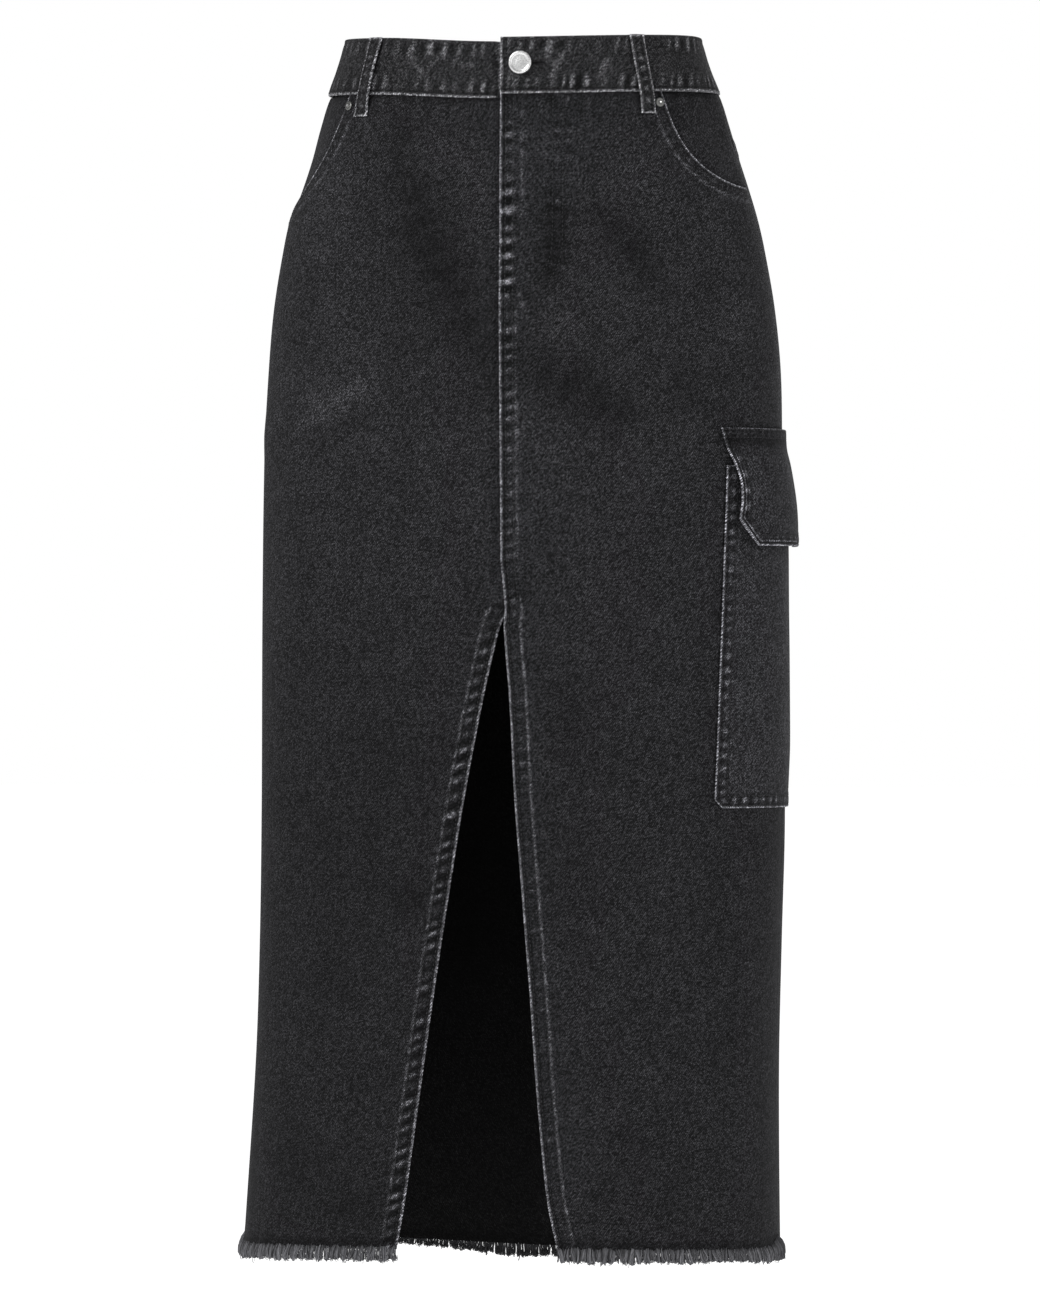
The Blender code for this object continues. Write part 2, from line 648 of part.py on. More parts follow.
def add_fringe(name, low, high, seed):
    """Strands fused at their roots into a narrow strip that lies just under a panel's cut edge."""
    chance = random.Random(seed)
    girth = sum((cloth(b, LENGTH) - cloth(a, LENGTH)).length for a, b in zip(stops(low, high), stops(low, high)[1:]))
    count = round(girth / STRAND_PITCH)
    turns = [mix(low, high, i / count) for i in range(count + 1)]
    bm = bmesh.new()

    def edge(turn, lower, out):
        drop = hem_line(turn) + SEAM_GAP + (BACKING if lower else 0)
        point = cloth(turn, min(drop, LENGTH), out)
        point.z = ZENITH - drop
        return bm.verts.new(point)

    corners = [[edge(turn, lower, out) for lower in (0, 1) for out in (0, -FRAY_WALL)] for turn in turns]
    for a, b in zip(corners, corners[1:]):
        bm.faces.new((a[2], b[2], b[0], a[0]))
        bm.faces.new((b[3], a[3], a[1], b[1]))
        bm.faces.new((a[0], b[0], b[1], a[1]))
    for end, flip in ((corners[0], False), (corners[-1], True)):
        ring = (end[0], end[1], end[3], end[2])
        bm.faces.new(ring[::-1] if flip else ring)
    for (a, b), turn in zip(zip(corners, corners[1:]), turns):
        add_strand(bm, (a[2], a[3], b[3], b[2]), chance, turn)
    bmesh.ops.recalc_face_normals(bm, faces=bm.faces)
    return add_object(name, bm, FRAY, skirt)


def add_strand(bm, root, chance, turn):
    """Draws one strand down from four corners of the strip, in two tapering lengths."""
    along = (root[3].co - root[0].co).normalized()
    out = outward(turn, LENGTH)
    length = chance.uniform(STRAND_SHORT, STRAND_LONG)
    lean = along * chance.uniform(-STRAND_LEAN, STRAND_LEAN) + out * chance.uniform(-0.3, 1) * STRAND_LEAN
    middle = sum((corner.co for corner in root), Vector()) / 4
    ring = root
    for share, width in ((0.3, STRAND_WIDTH), (1, STRAND_TIP)):
        centre = middle + Vector((0, 0, -length * share)) + lean * share**2
        offsets = (-along + out, -along - out, along - out, along + out)
        lower = [bm.verts.new(centre + offset * width / 2) for offset in offsets]
        for i in range(4):
            j = (i + 1) % 4
            bm.faces.new((ring[i], ring[j], lower[j], lower[i]))
        ring = lower
    bm.faces.new(ring)


def add_fringes():
    left = turn_after(0, LENGTH, SLIT[-1].left)
    right = turn_after(0, LENGTH, SLIT[-1].right)
    side_gap = SEAM_GAP / SECTIONS[-1].front
    spans = [("fringe_front_left", left, SIDE - side_gap), ("fringe_back_left", SIDE, BACK - side_gap)]
    spans += [("fringe_back_right", BACK, 3 * SIDE - side_gap), ("fringe_front_right", -SIDE, right)]
    for seed, (name, low, high) in enumerate(spans):
        add_fringe(name, low, high, seed)


for old in list(bpy.data.objects):
    bpy.data.objects.remove(old, do_unlink=True)
skirt = collection("denim_skirt")
cutters = collection("cutters")
add_fronts()
add_facings()
add_backs()
add_waistband()
add_button()
add_rivets()
add_loops()
add_fly()
add_pocket()
add_flap()
add_fringes()
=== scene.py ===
"""The looks of a black denim midi skirt with a front slit, a frayed hem and one cargo pocket.

Everything is in metres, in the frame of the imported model: +Z up, the front towards -Y, the wearer's left
at +X, and the origin at the centre of the waist. A place on the cloth is given by its turn, the angle round
the body from the centre front, and its drop, the distance below the top of the waistband. On the flat cloth
a turn becomes a reach: the distance from the centre front along the cloth.
"""

import math

import bmesh
import bpy
import numpy as np
from mathutils import Matrix, Vector


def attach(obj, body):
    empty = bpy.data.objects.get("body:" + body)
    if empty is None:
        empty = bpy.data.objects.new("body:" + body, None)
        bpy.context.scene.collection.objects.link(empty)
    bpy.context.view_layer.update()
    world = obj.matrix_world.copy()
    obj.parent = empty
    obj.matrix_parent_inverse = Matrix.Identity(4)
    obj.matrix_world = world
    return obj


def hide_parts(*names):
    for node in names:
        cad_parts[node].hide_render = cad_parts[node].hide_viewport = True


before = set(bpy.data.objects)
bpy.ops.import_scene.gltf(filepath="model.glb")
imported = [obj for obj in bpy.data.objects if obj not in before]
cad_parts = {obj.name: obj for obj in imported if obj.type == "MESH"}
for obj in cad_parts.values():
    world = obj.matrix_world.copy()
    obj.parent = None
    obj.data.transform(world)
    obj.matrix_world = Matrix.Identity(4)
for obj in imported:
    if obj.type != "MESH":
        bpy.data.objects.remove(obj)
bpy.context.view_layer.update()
bpy.ops.object.select_all(action="DESELECT")

# ==========================================================================================================
# Front panels
# Two panels of washed black cotton twill. The left one laps over the right one and carries the fly; below
# the lap both edges are turned under and stitched twice to make the slit. The scoop pockets are cut out of
# their upper corners. Washing has left every edge and pucker lighter. The folds are darker, partly the dye
# that washing left in them and partly painted shade, and painted shade also darkens the stitching grooves,
# the strips beside raised edges and the cloth under the band and above the cut edge.

WALL = 0.0016  # one layer of denim
SEAM_GAP = 0.0003  # between the solids of pieces that are sewn edge to edge
SEAM_MEET = 0.0001  # how far panels sewn edge to edge reach into one another
UNDER = 0.0022  # how deep a layer lies under the one above it
LENGTH = 0.871  # from the top of the waistband to the cut edge
BAND_HEIGHT = 0.041
ZENITH = BAND_HEIGHT / 2  # height of the top of the waistband
CORNER = 0.05  # how much fuller than an ellipse the sections are, halfway between front and side
SIDE_RISE = 0.0035  # how much higher the waist is at the sides
SAG = 0.0032  # how much lower the band's right end lies where it goes under the left one
SAG_START = math.radians(-42)
HEM_SIDE_DIP = 0.003  # how much lower the cut edge is at the sides
HEM_BACK_DIP = 0.012  # and behind
HEM_BACK_TURN = math.radians(172)  # where it is lowest
SIDE = math.radians(90)  # turn of the left side seam
BACK = math.radians(180)  # turn of the centre back
SIDES = ((1, "left"), (-1, "right"))
NUDGE = 1e-4  # small steps of turn and of drop, to find directions
DROP_NUDGE = 0.001
MEAN_RADIUS = 0.16
REACH_STEPS = 32  # chords that a reach is added up from

# drop, half width to the right side seam, to the left one, depth to the centre front, to the centre back
SECTIONS = np.array(
    [
        (0.000, 0.1300, 0.1290, 0.0890, 0.0900),
        (0.020, 0.1365, 0.1355, 0.0900, 0.0920),
        (0.041, 0.1440, 0.1440, 0.0910, 0.0950),
        (0.062, 0.1505, 0.1505, 0.0920, 0.1010),
        (0.084, 0.1565, 0.1570, 0.0930, 0.1080),
        (0.106, 0.1640, 0.1640, 0.0940, 0.1140),
        (0.128, 0.1725, 0.1705, 0.0945, 0.1190),
        (0.150, 0.1775, 0.1755, 0.0950, 0.1220),
        (0.193, 0.1845, 0.1830, 0.0960, 0.1260),
        (0.240, 0.1885, 0.1875, 0.0970, 0.1290),
        (0.300, 0.1915, 0.1885, 0.0980, 0.1310),
        (0.410, 0.1930, 0.1900, 0.1000, 0.1320),
        (0.565, 0.1935, 0.1905, 0.1040, 0.1330),
        (0.650, 0.1945, 0.1880, 0.1070, 0.1340),
        (0.740, 0.1975, 0.1860, 0.1100, 0.1360),
        (0.870, 0.2060, 0.1865, 0.1140, 0.1390),
    ]
)

# The largest folds: turn in degrees, drop, turn and drop of the other end, width, depth (below 0 a ridge)
FOLDS = [
    (-27, 0.100, -10, 0.265, 0.038, 0.0022),
    (13, 0.135, 17, 0.180, 0.026, 0.0012),
    (19, 0.120, 42, 0.180, 0.034, 0.0016),
    (33, 0.215, 56, 0.265, 0.038, 0.0018),
    (5, 0.225, 31, 0.270, 0.030, 0.0012),
    (-72, 0.285, -46, 0.250, 0.034, -0.0018),
    (-66, 0.320, -44, 0.290, 0.030, 0.0014),
    (-46, 0.560, -36, 0.660, 0.050, 0.0014),
    (140, 0.240, 205, 0.300, 0.050, 0.0020),
    (222, 0.215, 175, 0.275, 0.040, 0.0014),
    (150, 0.520, 162, 0.700, 0.055, 0.0022),
    (208, 0.480, 200, 0.680, 0.055, 0.0020),
]

# Smaller creases and ridges: points of turn in degrees and drop, width, depth (below 0 a ridge), and how
# much lighter they are painted: below 0 darker, with painted shade and the dye kept in the crease, above 0
# lighter along a ridge
CREASES = [
    ([(-31, 0.073), (-20, 0.121), (-11, 0.178), (-3, 0.236), (0, 0.263)], 0.036, 0.0008, -0.34),
    ([(-27, 0.085), (-15, 0.150), (-4, 0.235)], 0.066, 0.0004, -0.20),
    ([(-29, 0.057), (-24, 0.081)], 0.016, 0.0004, -0.26),
    ([(-55, 0.078), (-40, 0.137)], 0.030, -0.0003, 0.04),
    ([(-51, 0.283), (-40, 0.264), (-30, 0.248)], 0.020, -0.0009, 0.13),
    ([(-36, 0.280), (-28, 0.274)], 0.020, 0.0006, -0.26),
    ([(-22, 0.624), (-15, 0.613)], 0.027, 0.0004, -0.26),
    ([(-33, 0.823), (-26, 0.858)], 0.043, 0.0005, -0.23),
    ([(-64, 0.753), (-61, 0.862)], 0.009, -0.0002, 0.13),
    ([(-67.5, 0.753), (-64.5, 0.862)], 0.011, 0.0002, -0.24),
    ([(11.5, 0.114), (11.5, 0.183)], 0.032, 0.0003, -0.34),
    ([(22.5, 0.117), (31, 0.150), (39, 0.181)], 0.027, 0.0007, -0.38),
    ([(3, 0.227), (16, 0.251), (29.5, 0.276)], 0.036, 0.0008, -0.46),
    ([(24, 0.262), (31, 0.272)], 0.032, 0.0004, -0.19),
    ([(35, 0.236), (50, 0.270)], 0.020, 0.0005, -0.26),
    ([(52, 0.211), (71, 0.188)], 0.044, -0.0003, 0.05),
    ([(3, 0.387), (6, 0.405)], 0.012, 0.0003, -0.45),
    ([(13.7, 0.448), (17, 0.520)], 0.030, 0.0004, -0.23),
    ([(32, 0.820), (45, 0.799)], 0.022, -0.0004, 0.05),
    ([(49, 0.735), (51, 0.835)], 0.010, -0.0003, 0.05),
    ([(64.5, 0.664), (69, 0.837)], 0.008, -0.0003, 0.08),
    ([(14.5, 0.500), (19, 0.660)], 0.032, 0.0003, -0.16),
    ([(24, 0.800), (40, 0.835)], 0.060, 0.0003, -0.14),
    ([(38, 0.070), (47, 0.108)], 0.042, -0.0002, 0.045),
    ([(-62, 0.095), (-50, 0.160)], 0.060, -0.0002, 0.035),
    ([(-50, 0.780), (-38, 0.850)], 0.060, 0.0003, -0.15),
    ([(-24, 0.500), (-27, 0.640)], 0.050, 0.0003, -0.12),
    ([(112, 0.118), (150, 0.140)], 0.022, 0.0007, -0.30),
    ([(177, 0.122), (160, 0.168), (140, 0.205)], 0.024, 0.0008, -0.34),
    ([(150, 0.232), (176, 0.262)], 0.032, 0.0008, -0.30),
    ([(128, 0.330), (104, 0.300)], 0.030, -0.0005, 0.05),
    ([(-112, 0.122), (-146, 0.150)], 0.024, 0.0007, -0.31),
    ([(-176, 0.130), (-156, 0.182), (-140, 0.214)], 0.027, 0.0008, -0.34),
    ([(-150, 0.250), (-177, 0.232)], 0.030, 0.0007, -0.27),
    ([(-118, 0.300), (-102, 0.340)], 0.041, 0.0005, -0.20),
    ([(150, 0.620), (160, 0.780)], 0.041, 0.0006, -0.19),
    ([(-165, 0.560), (-152, 0.740)], 0.041, 0.0006, -0.19),
]

# The slit: drop, and the distance of its right and left edges from the centre front
SLIT = np.array(
    [
        (0.376, 0.0120, 0.0018),
        (0.411, 0.0080, 0.0052),
        (0.423, 0.0020, 0.0045),
        (0.441, -0.0024, 0.0057),
        (0.477, -0.0103, 0.0088),
        (0.549, -0.0239, 0.0130),
        (0.620, -0.0352, 0.0190),
        (0.692, -0.0459, 0.0252),
        (0.764, -0.0559, 0.0308),
        (0.836, -0.0660, 0.0385),
        (0.871, -0.0722, 0.0460),
    ]
)
SLIT_TOP = 0.411
LAP_UNDER = 0.012  # the right panel runs on under the left one
SLIT_STITCHES = (0.0034, 0.0112)  # distances of the two rows of stitching from the slit's edges
LAP_STITCHES = (0.0045, 0.0100)  # and from the edge of the lap above it
HEM_WIDTH = 0.0124  # how much of the slit's edges is turned under
FLY_END = 0.190
FLY_BEND = 0.147  # where the rows of the fly start to turn towards the centre edge
FLY_STOP = 0.004  # how near they come to it
FLY_PLACES = ((0.0386, 0.1835), (0.0460, 0.1900))  # their distances from the edge, and drops of their ends

# Scoop pockets: side, width along the waist, drop at the side seam, roundness of the curve
SCOOPS = {1: (0.072, 0.106, 2.8), -1: (0.067, 0.124, 1.9)}
SCOOP_TURN = math.radians(50)  # about where an opening meets the waistband
SCOOP_STITCHES = (0.0015, 0.0080)
SCOOP_STEPS = 81
SCOOP_FRONT_DROP = 0.140  # at the centre front, the drop of the line across that ends the opening
LOWER_ROWS = 361  # rows of a front panel below that line
GROOVE = 0.0016  # width of the groove that a row of stitching has pulled


def smooth(low, high, at):
    """0 up to low, 1 from high on, and an eased step between them."""
    s = np.clip((at - low) / (high - low), 0, 1)
    return s * s * (3 - 2 * s)


def hump(at, centre, width):
    """1 at the centre, falling away to nothing about one width from it."""
    return np.exp(-(((at - centre) / (width / 2)) ** 2))


def curve(rows, column, at):
    """A smooth curve through one column of a table whose first column is the drop."""
    drops, values = rows[:, 0], rows[:, column]
    rise = np.append(values[1:], values[-1]) - np.append(values[0], values[:-1])
    slopes = rise / (np.append(drops[1:], drops[-1]) - np.append(drops[0], drops[:-1]))
    at = np.clip(at, drops[0], drops[-1])
    i = np.clip(np.searchsorted(drops, at, side="right") - 1, 0, len(drops) - 2)
    span = drops[i + 1] - drops[i]
    s = (at - drops[i]) / span
    start = (2 * s**3 - 3 * s**2 + 1) * values[i] + (s**3 - 2 * s**2 + s) * span * slopes[i]
    return start + (3 * s**2 - 2 * s**3) * values[i + 1] + (s**3 - s**2) * span * slopes[i + 1]


def half_sizes(drop):
    return [curve(SECTIONS, column, drop) for column in (1, 2, 3, 4)]


def ring(turn, sizes):
    """X and Y of the skirt's section."""
    right, left, front, back = sizes
    s, c = np.sin(turn), np.cos(turn)
    fuller = 1 + CORNER * np.sin(2 * turn) ** 2
    return np.where(s > 0, left, right) * s * fuller, -np.where(c > 0, front, back) * c * fuller


def body(turn, drop):
    x, y = ring(turn, half_sizes(drop))
    return np.stack([x, y, ZENITH - drop + 0 * x], -1)


def unit(vectors):
    return vectors / np.linalg.norm(vectors, axis=-1, keepdims=True)


def outward(turn, drop):
    """The direction that the cloth faces."""
    sideways = body(turn + NUDGE, drop) - body(turn - NUDGE, drop)
    drop = np.clip(drop, DROP_NUDGE, LENGTH - 2 * DROP_NUDGE)
    return unit(np.cross(sideways, body(turn, drop - DROP_NUDGE) - body(turn, drop + DROP_NUDGE)))


def fold_depth(turn, drop):
    """How far the folds push the cloth in."""
    depth = 0 * turn
    for fold_turn, fold_drop, to_turn, to_drop, width, deep in FOLDS:
        radius = np.hypot(*ring(math.radians(fold_turn), half_sizes(fold_drop)))
        offset = (np.degrees(turn) - fold_turn + 180) % 360 - 180
        here = np.stack([np.radians(offset) * radius, drop - fold_drop], -1)
        along = np.array([math.radians(to_turn - fold_turn) * radius, to_drop - fold_drop])
        share = np.clip(here @ along / (along @ along), 0, 1)
        away = np.linalg.norm(here - share[..., None] * along, axis=-1)
        depth = depth + deep * np.exp(-((2 * away / width) ** 2))
    return depth


def cloth(turn, drop, out):
    """The point at a turn and drop, a distance out from the cloth's outer face."""
    return body(turn, drop) + outward(turn, drop) * (out - fold_depth(turn, drop))[..., None]


def reach(turn, drop):
    """The distance from the centre front along the cloth."""
    sizes = half_sizes(drop)
    x, y = ring(0 * turn, sizes)
    total = 0 * turn
    for i in range(1, REACH_STEPS + 1):
        next_x, next_y = ring(turn * i / REACH_STEPS, sizes)
        total = total + np.hypot(next_x - x, next_y - y)
        x, y = next_x, next_y
    return total * np.sign(turn)


def turn_at(place, drop):
    """The turn at which the cloth has come a given distance from the centre front."""
    turn = place / MEAN_RADIUS
    for _ in range(5):
        rate = np.linalg.norm(body(turn + NUDGE, drop) - body(turn - NUDGE, drop), axis=-1) / (2 * NUDGE)
        turn = turn + (place - reach(turn, drop)) / rate
    return turn


def waist_line(turn, right_end=False):
    """The drop of the band's top edge; its right end sags a little where it goes under the left one."""
    sag = SAG * smooth(SAG_START, 0, turn) * (right_end | (turn < 0))
    return sag - SIDE_RISE * np.sin(turn) ** 2


def hem_line(turn):
    """The drop of the cut edge, which is lowest behind."""
    behind = np.clip(np.cos(turn - HEM_BACK_TURN), 0, 1) ** 3
    return LENGTH + HEM_SIDE_DIP * np.sin(turn) ** 2 + HEM_BACK_DIP * behind


def to_line(line, place, drop):
    """The distance of places from a line on the flat cloth, and how far along the line they are."""
    here = np.stack(np.broadcast_arrays(place, drop), -1)
    nearest, along, done = np.full(here.shape[:-1], np.inf), np.zeros(here.shape[:-1]), 0.0
    for a, b in zip(line, line[1:]):
        length = np.linalg.norm(b - a)
        share = np.clip((here - a) @ (b - a) / length**2, 0, 1)
        away = np.linalg.norm(here - a - share[..., None] * (b - a), axis=-1)
        along = np.where(away < nearest, done + share * length, along)
        nearest = np.minimum(away, nearest)
        done += length
    return nearest, along


def beside(line, distance):
    """The line beside another one; on a line that runs down, a distance above 0 is towards the left."""
    step = np.gradient(line, axis=0)
    return line + distance * unit(np.stack([step[:, 1], -step[:, 0]], -1))


def puckers(along, pitch, seed, uneven=0.3):
    """A wave along a seam, about from -1 to 1, its crests about one pitch apart and unlike in height."""
    crests = 240  # more than any seam here has
    chance = np.random.default_rng(seed)
    marks = np.cumsum(chance.uniform(1 - uneven, 1 + uneven, crests) * pitch) - pitch
    heights = chance.uniform(0.15, 1.15, crests)
    phase = 2 * np.pi * np.interp(along, marks, np.arange(crests))
    return np.cos(phase) * np.interp(along, marks, heights)


def centre_edge(side, drop):
    """The reach of a front panel's centre edge."""
    if side > 0:
        above = SLIT[0, 2] * smooth(FLY_END, SLIT[0, 0], drop)
        return np.where(drop > SLIT[0, 0], curve(SLIT, 2, drop), above)
    return np.where(drop > SLIT[0, 0], curve(SLIT, 1, drop), LAP_UNDER)


def scoop_line(side):
    """The pocket opening on the flat cloth, from the waist to the side seam, in even steps."""
    width, end, roundness = SCOOPS[side]
    corner = np.linspace(0, math.pi / 2, 1000)
    top = waist_line(side * SCOOP_TURN) + BAND_HEIGHT
    drop = top + (end - top) * np.sin(corner) ** (2 / roundness)
    from_seam = width * np.cos(corner) ** (2 / roundness)
    line = np.stack([side * (reach(side * SIDE + 0 * drop, drop) * side - from_seam), drop], -1)
    run = np.append(0, np.cumsum(np.linalg.norm(np.diff(line, axis=0), axis=1)))
    even = np.linspace(0, run[-1], SCOOP_STEPS)
    return np.stack([np.interp(even, run, line[:, 0]), np.interp(even, run, line[:, 1])], -1)


def fly_line(from_edge, end):
    """A row of the fly's topstitching: straight down beside the centre edge, then round to it."""
    bend = np.linspace(0, math.pi / 2, 16)
    curve_drop = FLY_BEND + (end - FLY_BEND) * np.sin(bend)
    curve_reach = FLY_STOP + (from_edge - FLY_STOP) * np.cos(bend) ** 0.9
    straight = np.linspace(BAND_HEIGHT + 0.001, FLY_BEND, 24)[:-1]
    return np.stack([np.append(straight * 0 + from_edge, curve_reach), np.append(straight, curve_drop)], -1)


FLY_ROWS = [fly_line(from_edge, end) for from_edge, end in FLY_PLACES]
EDGE_DROPS = np.linspace(BAND_HEIGHT, LENGTH + 0.01, 120)
CENTRE_LINES = {side: np.stack([centre_edge(side, EDGE_DROPS), EDGE_DROPS], -1) for side in (1, -1)}
SCOOP_LINES = {side: scoop_line(side) for side in (1, -1)}
CREASE_LINES = []
for points, *_ in CREASES:
    turns, drops = np.array(points).T
    CREASE_LINES.append(np.stack([reach(np.radians(turns), drops), drops], -1))


# From here on, "out" is how far the face of the cloth stands off its smooth form, in metres. The wear that
# each place carries holds painted shade as well: above 0 it is how worn the cloth is, and below 0 it is
# mostly painted shade in folds, creases, stitching grooves and beside raised edges, with the dye kept in
# pucker valleys; at 1 the cloth is six times as light as its dye, at -1 a fifth as light. A hump is a strip
# that runs beside a line, given by its distance from the line and its width.


def wash(place, drop):
    """Slow unevenness of cloth and wash: a sum of waves in unlike directions."""
    waves = 9
    chance = np.random.default_rng(5)
    total = 0 * place
    for _ in range(waves):
        length = chance.uniform(0.05, 0.22)
        heading = chance.uniform(0, math.pi)
        phase = chance.uniform(0, 6.3)
        here = place * math.cos(heading) + drop * math.sin(heading)
        total = total + np.sin(here * 2 * math.pi / length + phase)
    return total / waves


def slit_hem(side, place, drop, out, wear_and_shade):
    """The turned-under hem of the slit and the lap above it, roped by its two rows of stitching, and beside
    the fly the pale bars and the streak that the zip has rubbed through the left panel's edge. The rows'
    grooves and the strip beside the worn edge are darkened with painted shade."""
    away, along = to_line(CENTRE_LINES[side], place, drop)
    open_part = smooth(SLIT_TOP - 0.012, SLIT_TOP + 0.004, drop)
    fly = 1 - smooth(FLY_END - 0.01, FLY_END + 0.005, drop)
    lap = (1 - fly) * (1 - open_part) * (side > 0)
    fly = fly * (side > 0)
    doubled = 1 - smooth(0.0118, 0.0134, away)
    out += 0.00035 * doubled * (open_part + lap)
    inner_edge = (1.0 * open_part + 0.4 * lap) * hump(away, HEM_WIDTH, 0.0019)
    wear_and_shade += inner_edge * (0.75 + 0.2 * puckers(along, 0.017, 3))
    # painted shade in the grooves of both rows of stitching
    for rows, part in ((SLIT_STITCHES, open_part), (LAP_STITCHES, lap)):
        for row in rows:
            out -= 0.00022 * hump(away, row, GROOVE) * part
            wear_and_shade -= 0.22 * hump(away, row, GROOVE) * part
    roped = hump(away, 0.0068, 0.0090)  # between the two rows
    if side > 0:
        wave = puckers(along + away * 0.2, 0.0092, 11)
        out += wave * roped * (0.00020 * open_part + 0.00026 * lap)
        wear_and_shade += wave * roped * (0.42 * open_part + 0.70 * lap * (1 + 0.8 * hump(drop, 0.2, 0.05)))
        bars = puckers(along + away * 0.15, 0.0112, 12) * hump(away, 0.0060, 0.0085) * fly
        out += 0.00034 * bars
        wear_and_shade += 1.60 * bars * (0.85 + 0.6 * hump(drop, 0.165, 0.08))
        streak = hump(away, 0.0168, 0.0030) * fly * (1 - smooth(0.13, 0.17, drop))
        out += 0.00018 * streak
        wear_and_shade += 0.36 * streak * (0.7 + 0.5 * puckers(along, 0.013, 14))
    else:
        wave = puckers(along - away * 0.55, 0.0100, 13)
        out += 0.00048 * wave * roped * open_part
        wear_and_shade += 1.30 * wave * roped * open_part
    shows = open_part if side < 0 else 1
    worn_edge = 1.55 * hump(away, 0.0004, 0.0027) * shows
    wear_and_shade += worn_edge * (0.85 + 0.15 * puckers(along, 0.006, 15))
    # painted shadow beside the worn edge, in the groove of the first row
    wear_and_shade -= 0.60 * hump(away, 0.0034, 0.0026) * shows


def fly_front(place, drop, out, wear_and_shade):
    """The fly's two curved rows of topstitching and the cloth puckered beside them, with painted shade in
    the rows' grooves and along them on the lower part of the fly.
    """
    for number, line in enumerate(FLY_ROWS):
        away, along = to_line(line, place, drop)
        out -= 0.0002 * hump(away, 0, GROOVE)
        # painted shade in the row's groove
        wear_and_shade -= 0.30 * hump(away, 0, 0.0020)
        wave = puckers(along, 0.0105, 20 + number, 0.45) * hump(away, 0.0030, 0.0080)
        out += 0.00024 * wave
        # painted shade along the row, lower down the fly
        shadow = 0.16 * hump(away, 0, 0.0120) * smooth(0.09, 0.13, drop)
        wear_and_shade += 0.40 * wave * (0.7 + 0.5 * puckers(along, 0.041, 24)) - shadow


def scoop_hem(side, place, drop, out, wear_and_shade):
    """The pocket opening, turned under and stitched twice, with painted shade beside its worn edge and in
    the groove of its inner row.
    """
    away, along = to_line(SCOOP_LINES[side], place, drop)
    doubled = 1 - smooth(0.0088, 0.0104, away)
    out += 0.0003 * doubled
    worn_edge, inner_edge = 1.45 * hump(away, 0.0003, 0.0024), 0.55 * hump(away, 0.0098, 0.0020)
    wear_and_shade += worn_edge
    # painted shadow beside the worn edge
    wear_and_shade -= 0.45 * hump(away, 0.0028, 0.0024)
    wear_and_shade += inner_edge * (0.75 + 0.3 * puckers(along, 0.011, 30 + side))
    # painted shade in the groove of the inner row
    wear_and_shade -= 0.30 * hump(away, 0.0078, 0.0020)
    for row in SCOOP_STITCHES:
        out -= 0.0002 * hump(away, row, 0.0015)
    wave = puckers(along, 0.0085, 32 + side) * hump(away, 0.0050, 0.0060)
    out += 0.00015 * wave
    wear_and_shade += 0.36 * wave


HEM_CURL = 0.0008  # how far the cut edge stands off, and back, where it curls
HEM_CURL_HEIGHT = 0.014
FOLD_PAINTED_SHADE = 50  # how much darker a fold is painted, for each metre of its depth: painted shade, with the dye that the wash left in it


def hem_wave(turn, place):
    """How the cut edge curls, from -1 to 1; it lies still at the centre back."""
    return puckers(place + 1, 0.034, 41) * (1 - hump(np.abs(turn), BACK, 0.25))


def panel_relief(side, place, drop, turn):
    """Stand-off, wear and painted shade of a panel's face, near the waist, the cut edge, the folds, the
    creases and the side seam; the panel also grows darker towards the hem.
    """
    out, wear_and_shade = 0.00025 * wash(place, drop), 0.05 * wash(place * 1.7 + 0.3, drop * 1.3)
    # darker towards the hem, more on the right panels
    wear_and_shade = wear_and_shade - (0.20 - 0.06 * side) * smooth(0.26, 0.56, drop)
    below_band = drop - BAND_HEIGHT - waist_line(turn)
    wave = puckers(place + 0.6, 0.017, 40) * hump(below_band, 0.007, 0.014)
    out = out + 0.00028 * wave - 0.0004 * hump(below_band, 0, 0.005)
    # pucker crests under the band worn lighter, and painted shadow of the band below it
    wear_and_shade = wear_and_shade + 0.20 * wave - 0.50 * hump(below_band, 0.0005, 0.006)
    wear_and_shade = wear_and_shade - 0.16 * hump(below_band, 0.012, 0.030)
    above_hem = hem_line(turn) - drop
    out = out + HEM_CURL * hem_wave(turn, place) * np.exp(-np.clip(above_hem, 0, None) / HEM_CURL_HEIGHT)
    # painted shade in a strip just above the cut edge
    wear_and_shade = wear_and_shade - 0.55 * hump(above_hem, 0.0040, 0.0080) * (0.7 + 0.4 * puckers(place + 1, 0.018, 42))
    # folds painted darker: painted shade, with the dye that the wash left in them
    wear_and_shade = wear_and_shade - FOLD_PAINTED_SHADE * np.clip(fold_depth(turn, drop), 0, None)
    # creases painted darker with painted shade and the dye kept in them; ridges lighter
    for line, (_, width, depth, fade_and_painted_shade) in zip(CREASE_LINES, CREASES):
        away, along = to_line(line, place, drop)
        share = along / np.linalg.norm(np.diff(line, axis=0), axis=1).sum()
        middle = np.sin(math.pi * share)
        trace = hump(away, 0, width * (0.6 + 0.5 * middle)) * (0.35 + 0.65 * middle)
        trace = trace * (np.sign(line[0, 0] + line[-1, 0]) == side)
        out = out - depth * trace
        wear_and_shade = wear_and_shade + fade_and_painted_shade * trace * (1 + 0.3 * puckers(along, 0.021, len(line) + 90))
    away = np.abs(place - reach(turn * 0 + side * SIDE, drop))
    out = out - 0.0002 * hump(away, 0, 0.003)
    # the seam's edge worn lighter, and painted shade in its hollow
    wear_and_shade = wear_and_shade + 0.24 * hump(away, 0.0013, 0.0020) - 0.35 * hump(away, 0, 0.0014)
    return out, wear_and_shade


